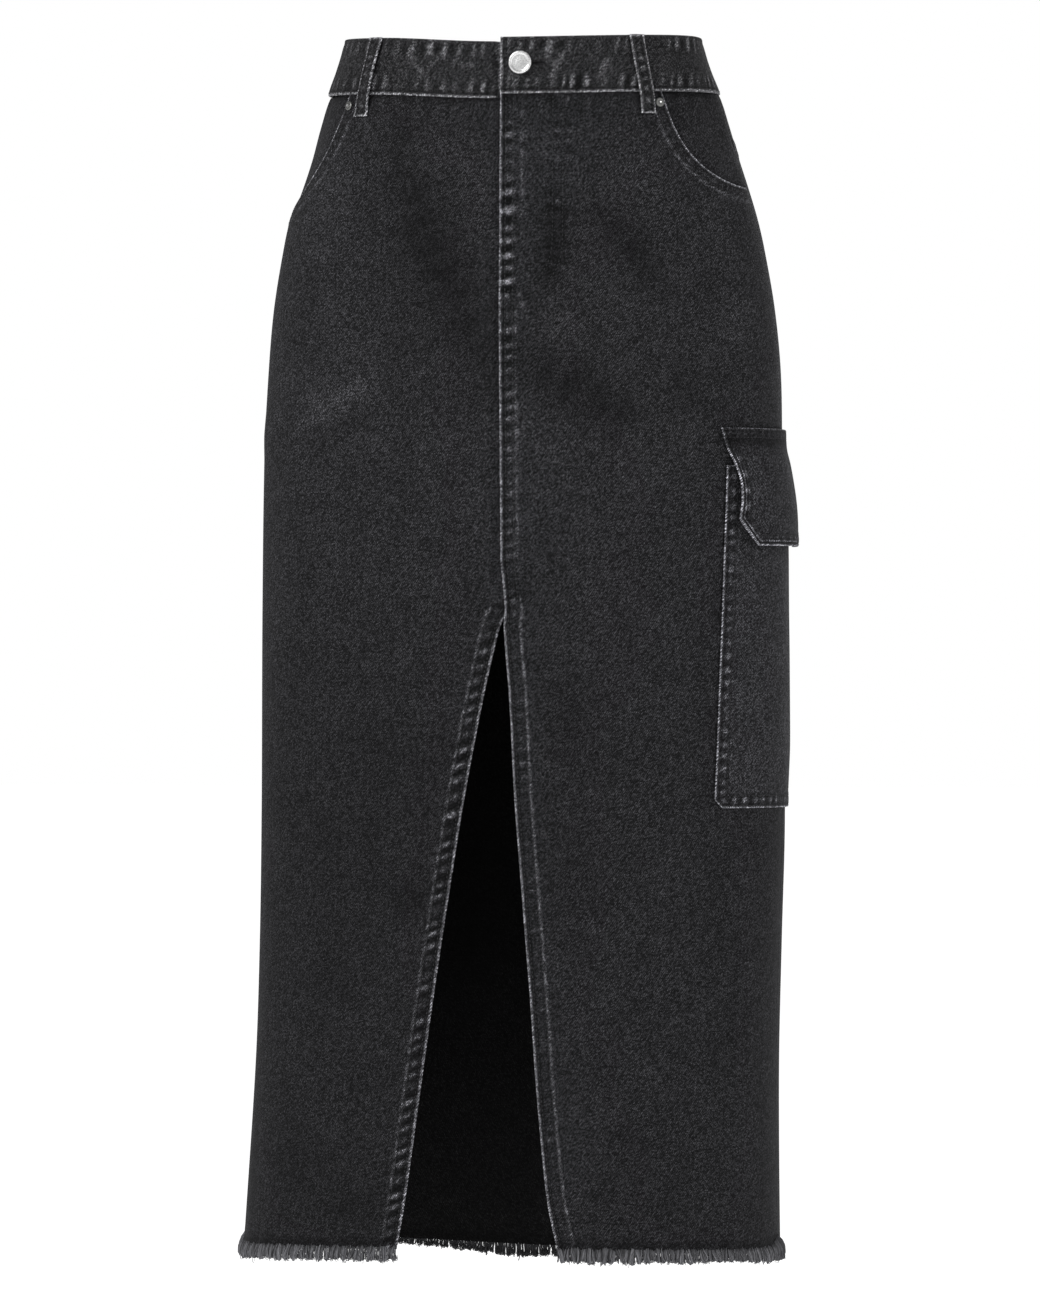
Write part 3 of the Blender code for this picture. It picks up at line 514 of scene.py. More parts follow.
def front_relief(side, place, drop, turn):
    """Stand-off, wear and painted shade of a front panel; the right one steps in to go under the left one.
    """
    out, wear_and_shade = panel_relief(side, place, drop, turn)
    slit_hem(side, place, drop, out, wear_and_shade)
    scoop_hem(side, place, drop, out, wear_and_shade)
    if side > 0:
        fly_front(place, drop, out, wear_and_shade)
    else:
        under_lap = smooth(-0.0065, -0.001, turn * curve(SECTIONS, 1, drop))
        out -= UNDER * under_lap * (1 - smooth(SLIT_TOP + 0.010, SLIT_TOP + 0.040, drop))
    return out, wear_and_shade


def rounded(edge, wall):
    """How far the face turns in towards a folded edge: nothing inside, half the wall at the edge."""
    inside = wall / 2 - np.clip(edge, 0, wall / 2)
    return wall / 2 - np.sqrt((wall / 2) ** 2 - inside**2)


def quads(grid, order):
    """The four-cornered faces between the neighbours of a grid of points."""
    corners = (grid[:-1, :-1], grid[:-1, 1:], grid[1:, 1:], grid[1:, :-1])
    return np.stack([corners[i] for i in order], -1).reshape(-1, 4).tolist()


SHARP_ANGLE = math.radians(60)


def cloth_wall(name, turn, drop, out, edge, wear_and_shade, looks, wall=WALL, coarse=1):
    """One piece of cloth with its real thickness. Each array has a row for every line across the piece. The
    outer and inner faces meet in a rounded fold at the first and last columns, and the inner face keeps one
    column in every few."""
    columns = turn.shape[1]
    outer = cloth(turn, drop, out - rounded(edge, wall))
    kept = np.unique(np.append(np.arange(1, columns - 1, coarse), columns - 2))
    inner = cloth(turn, drop, out - wall + rounded(edge, wall))[:, kept]
    first = np.arange(outer.shape[0] * columns).reshape(-1, columns)
    second = first.size + np.arange(inner.shape[0] * len(kept)).reshape(-1, len(kept))
    second = np.hstack([first[:, :1], second, first[:, -1:]])
    kept = np.concatenate([[0], kept, [columns - 1]])
    faces = quads(first, (3, 2, 1, 0))
    shown = len(faces)
    faces += quads(second, (0, 1, 2, 3))
    hidden = len(faces)
    # narrow faces that close the first and the last line
    for k, (a, b) in enumerate(zip(kept, kept[1:])):
        for row, order in ((0, 1), (-1, -1)):
            cap = first[row, a : b + 1].tolist() + [second[row, k + 1], second[row, k]]
            cap = [int(v) for i, v in enumerate(cap) if v not in cap[:i]]
            faces.append(cap[::order])
    # on the right-hand side the columns run the other way, and the faces are turned round to point outwards
    row, column = middle = outer.shape[0] // 2, columns // 2
    here = outer[middle]
    faced = np.cross(outer[row, column + 1] - here, here - outer[row + 1, column])
    if faced @ outward(turn[middle], drop[middle]) < 0:
        faces = [face[::-1] for face in faces]
    mesh = bpy.data.meshes.new(name)
    mesh.from_pydata(np.concatenate([outer.reshape(-1, 3), inner.reshape(-1, 3)]).tolist(), [], faces)
    flat = np.stack([reach(turn, drop), -drop], -1)
    flat = np.concatenate([flat.reshape(-1, 2), flat[:, kept[1:-1]].reshape(-1, 2)])
    corners = np.empty(len(mesh.loops), int)
    mesh.loops.foreach_get("vertex_index", corners)
    mesh.uv_layers.new(name="cloth").data.foreach_set("uv", flat[corners].ravel())
    fade_and_painted_shade = np.concatenate([wear_and_shade.ravel(), wear_and_shade[:, kept[1:-1]].ravel()]).astype(np.float32)
    mesh.attributes.new("wear_and_shade", "FLOAT", "POINT").data.foreach_set("value", fade_and_painted_shade)
    for look in looks:
        mesh.materials.append(look)
    if len(looks) > 1:
        # the inner faces take the second look, which paints the inside dark as shade
        slots = np.zeros(len(mesh.polygons), int)
        slots[shown:hidden] = 1
        mesh.polygons.foreach_set("material_index", slots)
    mesh.shade_smooth()
    mesh.set_sharp_from_angle(angle=SHARP_ANGLE)
    piece = bpy.data.objects.new(name, mesh)
    bpy.context.scene.collection.objects.link(piece)
    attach(piece, "root")
    return piece


def add_node(tree, kind, *sources, **settings):
    """Adds a node, sets it, and feeds its inputs in order from sockets or plain values."""
    made = tree.nodes.new(kind)
    for name, value in settings.items():
        setattr(made, name, value)
    for socket, source in zip(made.inputs, sources):
        if isinstance(source, bpy.types.NodeSocket):
            tree.links.new(source, socket)
        elif source is not None:
            socket.default_value = source
    return made.outputs[0]


TWILL_PITCH = 1.5  # millimetres from one twill line to the next
TWILL_STEEPNESS = 1.54
FLOAT_WIDTH = 0.86  # millimetres that one float of a yarn takes up across, and down
FLOAT_LENGTH = 0.85


def washed_twill():
    """The face of the cloth: steep twill lines, flecks of weft, slubs, clouds of the wash, and wear, with
    painted shade where the wear is below 0.
    """
    group = bpy.data.node_groups.new("washed twill", "ShaderNodeTree")
    for name, kind, way in (
        ("Cloth", "NodeSocketVector", "INPUT"),
        ("Wear and shade", "NodeSocketFloat", "INPUT"),
        ("Dye", "NodeSocketColor", "INPUT"),
        ("Colour", "NodeSocketColor", "OUTPUT"),
        ("Height", "NodeSocketFloat", "OUTPUT"),
    ):
        group.interface.new_socket(name, in_out=way, socket_type=kind)
    given = group.nodes.new("NodeGroupInput").outputs
    put_out = group.nodes.new("NodeGroupOutput").inputs

    def math_node(operation, *sources):
        return add_node(group, "ShaderNodeMath", *sources, operation=operation)

    def noise(scale, detail, roughness=0.5):
        """Noise from -1 to 1 on the cloth in millimetres, its cells one over scale across and down."""
        stretched = add_node(group, "ShaderNodeVectorMath", millimetres, (*scale, 1), operation="MULTIPLY")
        made = group.nodes.new("ShaderNodeTexNoise")
        made.noise_dimensions = "2D"
        group.links.new(stretched, made.inputs["Vector"])
        made.inputs["Scale"].default_value = 1
        made.inputs["Detail"].default_value = detail
        made.inputs["Roughness"].default_value = roughness
        return math_node("MULTIPLY_ADD", made.outputs[0], 2, -1)

    metres, thousand = given["Cloth"], (1000, 1000, 1000)
    millimetres = add_node(group, "ShaderNodeVectorMath", metres, thousand, operation="MULTIPLY")
    split = add_node(group, "ShaderNodeSeparateXYZ", millimetres).node.outputs
    across = math_node("MULTIPLY", split[0], 1 / TWILL_PITCH)
    twill = math_node("MULTIPLY_ADD", split[1], -1 / (TWILL_PITCH * TWILL_STEEPNESS), across)
    twill = math_node("MULTIPLY_ADD", noise((0.5, 0.25), 2), 0.28, twill)
    shift = math_node("MULTIPLY", noise((0.4, 0.4), 1), 0.8)
    float_row = math_node("FLOOR", math_node("MULTIPLY_ADD", split[1], 1 / FLOAT_LENGTH, shift))
    float_column = math_node("FLOOR", math_node("MULTIPLY", twill, TWILL_PITCH / FLOAT_WIDTH))
    cell = add_node(group, "ShaderNodeCombineXYZ", float_column, float_row)
    float_shade = add_node(group, "ShaderNodeTexWhiteNoise", cell, noise_dimensions="2D")
    fleck = math_node("MULTIPLY_ADD", float_shade, 2, -1)
    fleck = math_node("MULTIPLY_ADD", noise((0.9, 0.8), 2, 0.7), 0.9, fleck)
    twill = math_node("SINE", math_node("MULTIPLY", twill, 2 * math.pi))
    slub = noise((1.1, 0.05), 2)
    cloud = noise((0.035, 0.03), 3, 0.6)
    blotch = noise((0.16, 0.11), 2)

    shade = math_node("MULTIPLY_ADD", twill, 0.55, -0.40)
    for pattern, strength in ((fleck, 1.15), (slub, 0.25), (cloud, 0.24), (blotch, 0.18)):
        shade = math_node("MULTIPLY_ADD", pattern, strength, shade)
    shade = math_node("EXPONENT", shade)
    rubbed = math_node("MULTIPLY_ADD", twill, 0.25, math_node("MULTIPLY_ADD", fleck, 0.2, 1))
    worn = math_node("MULTIPLY", given["Wear and shade"], rubbed)
    lighter = math_node("MULTIPLY_ADD", math_node("MAXIMUM", worn, 0), 5.0, 1)
    # wear below 0 darkens the dye: painted shade, and the dye kept in pucker valleys
    darker_by_shade_and_dye = math_node("MULTIPLY_ADD", math_node("MAXIMUM", math_node("MINIMUM", worn, 0), -1), 0.8, 1)
    shade = math_node("MULTIPLY", shade, math_node("MULTIPLY", lighter, darker_by_shade_and_dye))
    colour = add_node(group, "ShaderNodeVectorMath", given["Dye"], operation="SCALE").node
    group.links.new(shade, colour.inputs["Scale"])
    group.links.new(colour.outputs[0], put_out["Colour"])
    height = math_node("MULTIPLY_ADD", fleck, 0.3, math_node("MULTIPLY", slub, 0.3))
    height = math_node("MULTIPLY_ADD", twill, 0.35, height)
    group.links.new(height, put_out["Height"])
    return group


TWILL = washed_twill()
WEAVE_RELIEF = 0.00010


def denim(name, dye, sheen=0.03):
    """Washed denim of one shade. The dye is the linear colour of its unworn face."""
    look = bpy.data.materials.new(name)
    look.use_nodes = True
    tree = look.node_tree
    shader = tree.nodes["Principled BSDF"]
    face = tree.nodes.new("ShaderNodeGroup")
    face.node_tree = TWILL
    flat = tree.nodes.new("ShaderNodeUVMap")
    flat.uv_map = "cloth"
    wear_and_shade = tree.nodes.new("ShaderNodeAttribute")
    wear_and_shade.attribute_name = "wear_and_shade"
    tree.links.new(flat.outputs["UV"], face.inputs["Cloth"])
    tree.links.new(wear_and_shade.outputs["Fac"], face.inputs["Wear and shade"])
    face.inputs["Dye"].default_value = (*dye, 1)
    tree.links.new(face.outputs["Colour"], shader.inputs["Base Color"])
    relief = tree.nodes.new("ShaderNodeBump")
    relief.inputs["Strength"].default_value = 1
    relief.inputs["Distance"].default_value = WEAVE_RELIEF
    tree.links.new(face.outputs["Height"], relief.inputs["Height"])
    tree.links.new(relief.outputs[0], shader.inputs["Normal"])
    shader.inputs["Roughness"].default_value = 0.9
    shader.inputs["Specular IOR Level"].default_value = 0.1
    shader.inputs["Sheen Weight"].default_value = sheen
    shader.inputs["Sheen Roughness"].default_value = 0.45
    shader.inputs["Sheen Tint"].default_value = (0.5, 0.5, 0.53, 1)
    return look


DENIM = denim("washed black denim", (0.0191, 0.0190, 0.0207))
# the inside of the cloth, painted nearly black as shade
DENIM_INSIDE_PAINTED_SHADE = denim("inside of the denim, painted dark as shade", (0.0054, 0.0054, 0.0056), sheen=0.0)

# Distances of columns from a folded edge, round its curve
ROLL = WALL / 2 * (1 - np.sin(np.radians([90, 65, 40, 20, 0])))


def lines_across(first, second, near_first, pitch, near_second):
    """Lines between two edges on the flat cloth; near an edge the columns lie at given distances."""
    span = np.linalg.norm(second - first, axis=1)[:, None]
    low, high = near_first[-1] / span, 1 - near_second[-1] / span
    count = max(2, round(float(np.mean(span)) / pitch))
    inner = low + (high - low) * np.linspace(0, 1, count + 1)[1:-1]
    share = np.hstack([near_first / span, inner, 1 - near_second[::-1] / span])
    place = first[:, :1] + (second - first)[:, :1] * share
    drop = first[:, 1:] + (second - first)[:, 1:] * share
    return place, drop, np.minimum(share, 1 - share) * span


TUCK = 0.0025  # how far the panels go up under the band


def bow(place, drop, top, bottom):
    """Bends the first lines to the waist seam and the last to the hem, and tucks one under the band."""
    depth = drop - drop[0]
    turn = turn_at(place[0], drop[0])
    drop = drop + (top(turn) - drop[0]) * (1 - smooth(0, 0.03, depth))
    last = turn_at(place[-1], drop[-1])
    drop = drop + (bottom(last) - drop[-1]) * smooth(-0.08, 0, drop - drop[-1])
    return np.vstack([place[:1], place]), np.vstack([drop[:1] - TUCK, drop])


def front_panel(name, side):
    """A front panel, between its centre edge and the pocket opening with the side seam below it."""
    scoop = SCOOP_LINES[side]
    start = BAND_HEIGHT + SEAM_GAP
    upper = start + (SCOOP_FRONT_DROP - start) * np.linspace(0, 1, len(scoop))
    lower = np.linspace(0, 1, LOWER_ROWS + 1)[1:]
    lower_front = SCOOP_FRONT_DROP + (LENGTH - SCOOP_FRONT_DROP) * lower
    lower_side = scoop[-1, 1] + (LENGTH - scoop[-1, 1]) * lower
    front_drop = np.append(upper, lower_front)
    first = np.stack([centre_edge(side, front_drop), front_drop], -1)
    seam = reach(side * SIDE + 0 * lower, lower_side) + side * SEAM_MEET
    second = np.vstack([scoop, np.stack([seam, lower_side], -1)])
    second[: len(scoop), 0] = side * np.minimum(side * second[: len(scoop), 0], side * seam[0])
    hem, fly = np.arange(0.0014, 0.0144, 0.00118), np.arange(0.0162, 0.0500, 0.0022)
    near_centre = np.concatenate([ROLL, hem, fly])
    near_side = np.concatenate([ROLL, np.arange(0.0014, 0.0120, 0.0015)])
    place, drop, edge = lines_across(first, second, near_centre, 0.0068, near_side)
    place, drop = bow(place, drop, lambda turn: start + waist_line(turn), hem_line)
    edge = np.vstack([edge[:1], edge])
    at_seam = np.append(np.zeros(len(scoop) + 1), np.ones(len(lower)))
    seam = reach(side * SIDE + 0 * at_seam, drop[:, -1]) + side * SEAM_MEET
    column = (place - place[:, :1]) / (place[:, -1:] - place[:, :1])
    place = place + column * ((seam - place[:, -1]) * at_seam)[:, None]
    turn = turn_at(place, drop)
    out, wear_and_shade = front_relief(side, place, drop, turn)
    return cloth_wall(name, turn, drop, out, edge, wear_and_shade, [DENIM, DENIM_INSIDE_PAINTED_SHADE], coarse=4)


for side, name in SIDES:
    panel = front_panel(f"panel_front_{name}", side)
    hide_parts(f"front_{name}")

# ==========================================================================================================
# Pocket facings
# A plain piece of the same denim behind each scoop opening, sewn into the waist and the side seam. It runs
# on a little way under the front panel.

FACING_UNDER = 0.014  # how far it runs on under the front panel
FACING_DEPTH = UNDER + 0.0004  # how deep it lies there


def facing(name, side):
    """One facing, which comes up level with the panels inside the opening."""
    width, end, _ = SCOOPS[side]
    down = np.linspace(0, 1, 66)
    top = BAND_HEIGHT + 2 * SEAM_GAP + waist_line(side * SIDE)
    drop = top + (end + FACING_UNDER - top) * down
    seam = reach(side * SIDE + 0 * drop, drop)
    outer_edge = np.stack([seam - side * SEAM_GAP / 2, drop], -1)
    inner_edge = np.stack([seam - side * (width + FACING_UNDER), drop], -1)
    near = np.append(ROLL, np.arange(0.0014, 0.0060, 0.0015))
    place, drop, edge = lines_across(inner_edge, outer_edge, near, 0.0030, near)
    turn = turn_at(place, drop)
    out, wear_and_shade = panel_relief(side, place, drop, turn)
    line = SCOOP_LINES[side]
    opening, _ = to_line(line, place, drop)
    # painted shadow of the opening's edge on the facing
    wear_and_shade = wear_and_shade - 0.35 * hump(opening, 0, 0.006)
    in_opening = side * (place - np.interp(drop, line[:, 1], line[:, 0]))
    rise = smooth(0.002, 0.012, in_opening) * smooth(0.030, 0.004, side * (seam[:, None] - place))
    out = out - FACING_DEPTH * (1 - rise)
    return cloth_wall(name, turn, drop, out, edge, wear_and_shade, [DENIM, DENIM_INSIDE_PAINTED_SHADE], coarse=4)


for side, name in SIDES:
    piece = facing(f"facing_{name}", side)
    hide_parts(f"pocket_facing_{name}")

# ==========================================================================================================
# Back panels and yokes
# Two panels seamed down the centre back, and above them two yokes, deeper at the centre, that take in the
# waist. These seams are lapped and stitched twice. The panels carry the long soft folds of the seat.

YOKE_SIDE = 0.078
YOKE_CENTRE = 0.104
LAP_WIDTH = 0.0095  # of a lapped seam, a little past its second row of stitching
SEAM_STITCHES = (0.0018, 0.0080)  # distances of the two rows from the seam


def yoke_line(turn):
    """The drop of the seam between a yoke and the panel below it."""
    return YOKE_SIDE + (YOKE_CENTRE - YOKE_SIDE) * np.abs(np.cos(turn))


def centre_back(side, drop):
    return reach(side * BACK + 0 * drop, drop)


def lapped_seam(away, along, out, wear_and_shade, seed):
    """The raised, twice stitched lap of a seam, on the side where away is above 0, with painted shadow
    beside the lap and painted shade in the rows' grooves.
    """
    lap = smooth(-0.0006, 0.0004, away) * (1 - smooth(LAP_WIDTH, LAP_WIDTH + 0.0014, away))
    out += 0.00045 * lap
    worn_edge, inner_edge = 0.55 * hump(away, 0.0004, 0.0018), 0.26 * hump(away, LAP_WIDTH + 0.0006, 0.0016)
    wear_and_shade += worn_edge + inner_edge
    # painted shadow of the lap's raised edge
    wear_and_shade -= 0.30 * hump(away, -0.0012, 0.0022)
    # the rows' grooves, with painted shade in them
    for row in SEAM_STITCHES:
        out -= 0.0002 * hump(away, row, GROOVE)
        wear_and_shade -= 0.15 * hump(away, row, GROOVE)
    wave = puckers(along, 0.0095, seed) * hump(away, 0.0050, 0.0075)
    out += 0.0002 * wave
    wear_and_shade += 0.36 * wave


def back_relief(side, place, drop, turn):
    out, wear_and_shade = panel_relief(side, place, drop, turn)
    seam = centre_back(side, drop)
    lapped_seam(place - seam, drop, out, wear_and_shade, 51)
    lapped_seam(yoke_line(turn) - drop, place, out, wear_and_shade, 52)
    return out, wear_and_shade


def back_piece(name, side, top, bottom, rows, pitch):
    """A back panel or a yoke, from the side seam to the centre back between two lines across."""
    share = np.linspace(0, 1, rows)
    edges = []
    for seam in (side * SIDE, side * BACK):
        high, low = (np.asarray(line(np.array(seam))) for line in (top, bottom))
        drop = high + (low - high) * share
        edges.append(np.stack([reach(seam + 0 * drop, drop), drop], -1))
    near = np.append(ROLL, np.arange(0.0014, 0.0130, 0.0018))
    place, drop, edge = lines_across(edges[0], edges[1], near, pitch, near)
    column = (place[:1] - place[:1, :1]) / (place[:1, -1:] - place[:1, :1])
    for _ in range(3):
        turn = turn_at(place, drop)
        drop = top(turn) + (bottom(turn) - top(turn)) * share[:, None]
        first = reach(side * SIDE + 0 * share, drop[:, 0])[:, None] - side * SEAM_MEET
        last = reach(side * BACK + 0 * share, drop[:, -1])[:, None] + side * SEAM_MEET
        place = first + (last - first) * column
    turn = turn_at(place, drop)
    out, wear_and_shade = back_relief(side, place, drop, turn)
    return cloth_wall(name, turn, drop, out, edge, wear_and_shade, [DENIM, DENIM_INSIDE_PAINTED_SHADE], coarse=4)


def panel_top(turn):
    return yoke_line(turn) + SEAM_GAP


def band_seam(turn):
    """The top of a yoke, a little way up under the band."""
    return BAND_HEIGHT - 0.0020 + waist_line(turn) + 0 * turn


for side, name in SIDES:
    panel = back_piece(f"panel_back_{name}", side, panel_top, hem_line, 260, 0.0055)
    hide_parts(f"back_{name}")
for side, name in SIDES:
    yoke = back_piece(f"panel_yoke_{name}", side, band_seam, yoke_line, 34, 0.0035)
    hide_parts(f"yoke_{name}")

# ==========================================================================================================
# Waistband
# One long strip folded double and closed over the tops of the panels, its left end lapped over its right
# one. Both edges are topstitched, which has pulled the denim into short upright puckers that the wash has
# bleached.

BAND_WALL = 0.0030
BAND_PROUD = 0.0012  # how far its face stands outside the panels
UNDERLAP = 0.036  # how far the right end runs on under the left one
UNDERLAP_GAP = 0.0010
STEP_IN = 0.010  # the length in which it steps inwards
WAIST_FRONT = 0.09  # radius at the centre front, which makes a distance there a turn
BAND_STEP = 0.6 * STEP_IN / 0.1365  # in turn
BAND_UNDER = UNDERLAP / 0.1355
BAND_GROOVES = (0.0016, BAND_HEIGHT - 0.0018)
BAND_STITCHES = (0.0018, BAND_HEIGHT - 0.0020)  # distances of the rows from its top edge
BUTTON_ACROSS = 0.0150
BUTTON_DROP = 0.0190
BUTTONHOLE_END = 0.0320  # from the centre front
BAND_CREASES = [  # reach and drop of both ends, width, depth
    (-0.069, 0.010, -0.058, 0.026, 0.0050, -0.0005),
    (-0.046, 0.012, -0.058, 0.026, 0.0045, -0.0004),
    (0.036, 0.030, 0.045, 0.013, 0.0050, -0.0005),
    (0.069, 0.034, 0.077, 0.019, 0.0050, -0.0005),
    (0.020, 0.028, 0.033, 0.024, 0.0045, 0.0005),
    (-0.020, 0.018, -0.033, 0.015, 0.0060, -0.0003),
    (0.215, 0.012, 0.230, 0.027, 0.0060, -0.0005),
    (-0.215, 0.028, -0.228, 0.013, 0.0060, -0.0005),
]
BAND_CREASE_PAINTED_SHADE = 620  # how much lighter a crease's ridge and darker its hollow are painted, for each metre of its depth; the darker hollows are painted shade
DENIM_BAND = denim("washed black denim, seamed", (0.0226, 0.0225, 0.0238))


def band_wear_and_shade(place, height):
    """Relief, fading and painted shade of the band's face; height is the distance below its top edge."""
    out, wear_and_shade = 0 * place, 0.12 * wash(place * 3, height * 5) - 0.05
    for middle, seed, weight in ((0.0066, 61, 0.94), (BAND_HEIGHT - 0.0072, 62, 1.16)):
        lean = place + (height - middle) * 0.18
        patchy = 0.35 + 0.65 * smooth(-0.7, 0.9, puckers(place + 0.7, 0.055, seed + 4, 0.5))
        tall = 0.0105 + 0.0030 * puckers(place + 0.7, 0.021, seed + 6, 0.5)
        wave = puckers(lean + 0.5, 0.0092, seed, 0.60) * hump(height, middle, tall) * patchy
        out += 0.00042 * wave
        wear_and_shade += weight * wave
    # the rows' grooves, with painted shade in them
    for row in BAND_GROOVES:
        out -= 0.00025 * hump(height, row, 0.0014)
        wear_and_shade -= 0.16 * hump(height, row, GROOVE)
    top_edge, lower_edge = hump(height, 0.0001, 0.0018), hump(height, BAND_HEIGHT - 0.0004, 0.0022)
    wear_and_shade += 0.60 * top_edge + 1.50 * lower_edge
    # painted shadow beside the worn lower edge
    wear_and_shade -= 0.60 * hump(height, BAND_HEIGHT - 0.0028, 0.0020)
    # ridges painted lighter, hollows darker as painted shade
    for ax, ay, bx, by, width, depth in BAND_CREASES:
        away, _ = to_line(np.array([(ax, ay), (bx, by)]), place, height)
        out -= depth * hump(away, 0, width)
        wear_and_shade -= BAND_CREASE_PAINTED_SHADE * depth * hump(away, 0, width)
    # the left end worn pale, with painted shadow beside it and a wider lighter strip
    end = hump(place, 0.0004, 0.0030) * (place < 0.02)
    wear_and_shade += 1.6 * end - 0.70 * hump(place, 0.0036, 0.0024) + 0.28 * hump(place, 0.0080, 0.009)
    # the buttonhole, a groove painted dark for the shade in its slit and the dark stitching round it
    hole_line = np.array([(BUTTON_ACROSS, BUTTON_DROP), (BUTTONHOLE_END, BUTTON_DROP)])
    hole, _ = to_line(hole_line, place, height)
    out -= 0.0013 * hump(hole, 0, 0.0016)
    wear_and_shade -= 0.9 * hump(hole, 0, 0.0030)
    return out, wear_and_shade


def band_surface(turn, height):
    """Turn, drop, stand-off, wear with painted shade, and reach of places on the band, from its left end
    right round.
    """
    right_end = turn > 1.5 * math.pi
    here = np.where(right_end, turn - 2 * math.pi, turn)
    drop = waist_line(here, right_end) + height
    place = reach(here, drop)
    out, wear_and_shade = band_wear_and_shade(place + 0.2 * (turn > 2 * math.pi + 0.03), height)
    inward = (BAND_WALL + UNDERLAP_GAP) * smooth(2 * math.pi - BAND_STEP, 2 * math.pi, turn)
    return here, drop, out + BAND_PROUD - inward, wear_and_shade, place


def waistband():
    """The whole band; its lines run down it, from the left end at the centre front right round."""
    around = 2 * math.pi
    turns = np.append(ROLL / WAIST_FRONT, np.arange(0.0014 / WAIST_FRONT, around - BAND_STEP, 0.0098))
    turns = np.append(turns, np.linspace(around - BAND_STEP, around + BAND_UNDER, 32)[1:])
    roll = ROLL / WALL * BAND_WALL
    height = np.concatenate([roll, np.linspace(0.0026, BAND_HEIGHT - 0.0026, 27), BAND_HEIGHT - roll[::-1]])
    turn, height = np.meshgrid(turns, height, indexing="ij")
    here, drop, out, wear_and_shade, place = band_surface(turn, height)
    edge = np.minimum(height, BAND_HEIGHT - height)
    from_end = np.clip(place, 0, None) * (BAND_WALL / WALL) + (turn > 1)
    edge = np.minimum(edge, from_end)
    return cloth_wall(
        "denim_waistband", here, drop, out, edge, wear_and_shade, [DENIM_BAND], wall=BAND_WALL, coarse=5
    )


band = waistband()
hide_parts("waistband")

# ==========================================================================================================
# Belt loops
# Folded strips with two rows of stitching. Each is caught in the top of the waistband and turned under and
# tacked below it, and its raised edges are worn pale.

LOOP_WIDTH = 0.0108
LOOP_WALL = 0.0020
LOOP_SLACK = 0.0013  # how far it bows away from the band
LOOP_END = 0.0555  # drop of its lower end
LOOP_TOP = 0.0002  # how far its top lies below the band's
LOOP_STITCH = 0.0022  # from each side to the row of stitching
LOOP_TACKS = (0.905, 0.918, 0.931, 0.035, 0.048)  # shares of its length where stitches run across it
LAYER_GAP = 0.0006
# name, turn of the top end and of the lower end in degrees, how much further out its left edge stands, and
# how much wider it lies than the others
LOOPS = [
    ("front_right", -43.6, -42.8, 0.0012, 1.14),
    ("front_left", 44.4, 42.3, -0.0002, 1.0),
    ("side_left", 128.0, 129.0, 0.0002, 1.0),
    ("centre_back", 180.0, 180.0, 0.0, 1.0),
    ("side_right", 232.0, 231.0, -0.0002, 1.0),
]


def loop_surface(loop, share_across, share_down):
    """Turn, drop and stand-off of places on a belt loop, given from 0 to 1 across and down."""
    _, top, end, twist, wider = loop
    top, end = (math.radians((turn + 180) % 360 - 180 if turn != 180 else 180) for turn in (top, end))
    waist = waist_line(np.array(top))
    drop = waist + LOOP_TOP + (LOOP_END - waist - LOOP_TOP) * share_down
    middle = top + (end - top) * share_down
    rate = np.linalg.norm(body(middle + NUDGE, drop) - body(middle - NUDGE, drop), axis=-1) / (2 * NUDGE)
    turn = middle + (share_across - 0.5) * LOOP_WIDTH * wider / rate
    on_band, on_panel = BAND_PROUD + LAYER_GAP + LOOP_WALL, LAYER_GAP + LOOP_WALL
    lie = on_band + (on_panel - on_band) * smooth(0.78, 0.97, share_down)
    slack = LOOP_SLACK * np.sin(math.pi * np.clip(share_down / 0.9, 0, 1)) ** 2
    return turn, drop, lie + slack + twist * (share_across - 0.5) * 2 * np.sin(math.pi * share_down)


def belt_loop(loop):
    """One loop, with its rows of stitching pressed in and painted shade in their grooves, and the tack
    across its lower end.
    """
    near = ROLL / WALL * LOOP_WALL
    across = np.concatenate([near, np.linspace(0.0015, LOOP_WIDTH - 0.0015, 10), LOOP_WIDTH - near[::-1]])
    down = np.concatenate([near, np.linspace(0.0016, LOOP_END - 0.0016, 48), LOOP_END - near[::-1]])
    down, across = np.meshgrid(down / LOOP_END, across / LOOP_WIDTH, indexing="ij")
    turn, drop, out = loop_surface(loop, across, down)
    from_top = down * LOOP_END
    from_side = np.minimum(across, 1 - across) * LOOP_WIDTH
    from_end = np.minimum(down, 1 - down) * LOOP_END
    wave = puckers(from_top, 0.0078, len(loop[0])) * hump(from_side, 0.0054, 0.0060)
    out = out - 0.0003 * hump(from_side, LOOP_STITCH, 0.0018) + 0.0002 * wave
    out = out - 0.0005 * hump(from_top, LOOP_END - 0.0050, 0.0016)
    wear_and_shade = 1.25 * hump(from_side, 0.0004, 0.0021) * (0.8 + 0.3 * puckers(from_top, 0.0050, 7))
    # painted shade in the grooves of the rows, and pucker crests worn lighter
    wear_and_shade = wear_and_shade - 0.42 * hump(from_side, 0.0026, 0.0018) + 0.62 * wave
    wear_and_shade = wear_and_shade + 1.3 * hump(from_end, 0.0003, 0.0022)
    edge = np.minimum(from_side, from_end)
    return cloth_wall(f"loop_{loop[0]}", turn, drop, out, edge, wear_and_shade, [DENIM_BAND], wall=LOOP_WALL)


for loop in LOOPS:
    piece = belt_loop(loop)
    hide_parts(f"belt_loop_{loop[0]}")

# ==========================================================================================================
# Cargo pocket and flap
# A patch laid over the left side seam, a little full in the middle, and a flap of two layers with cut-off
# corners, which is stitched down above it. The flap's front edge has curled outwards and worn pale.

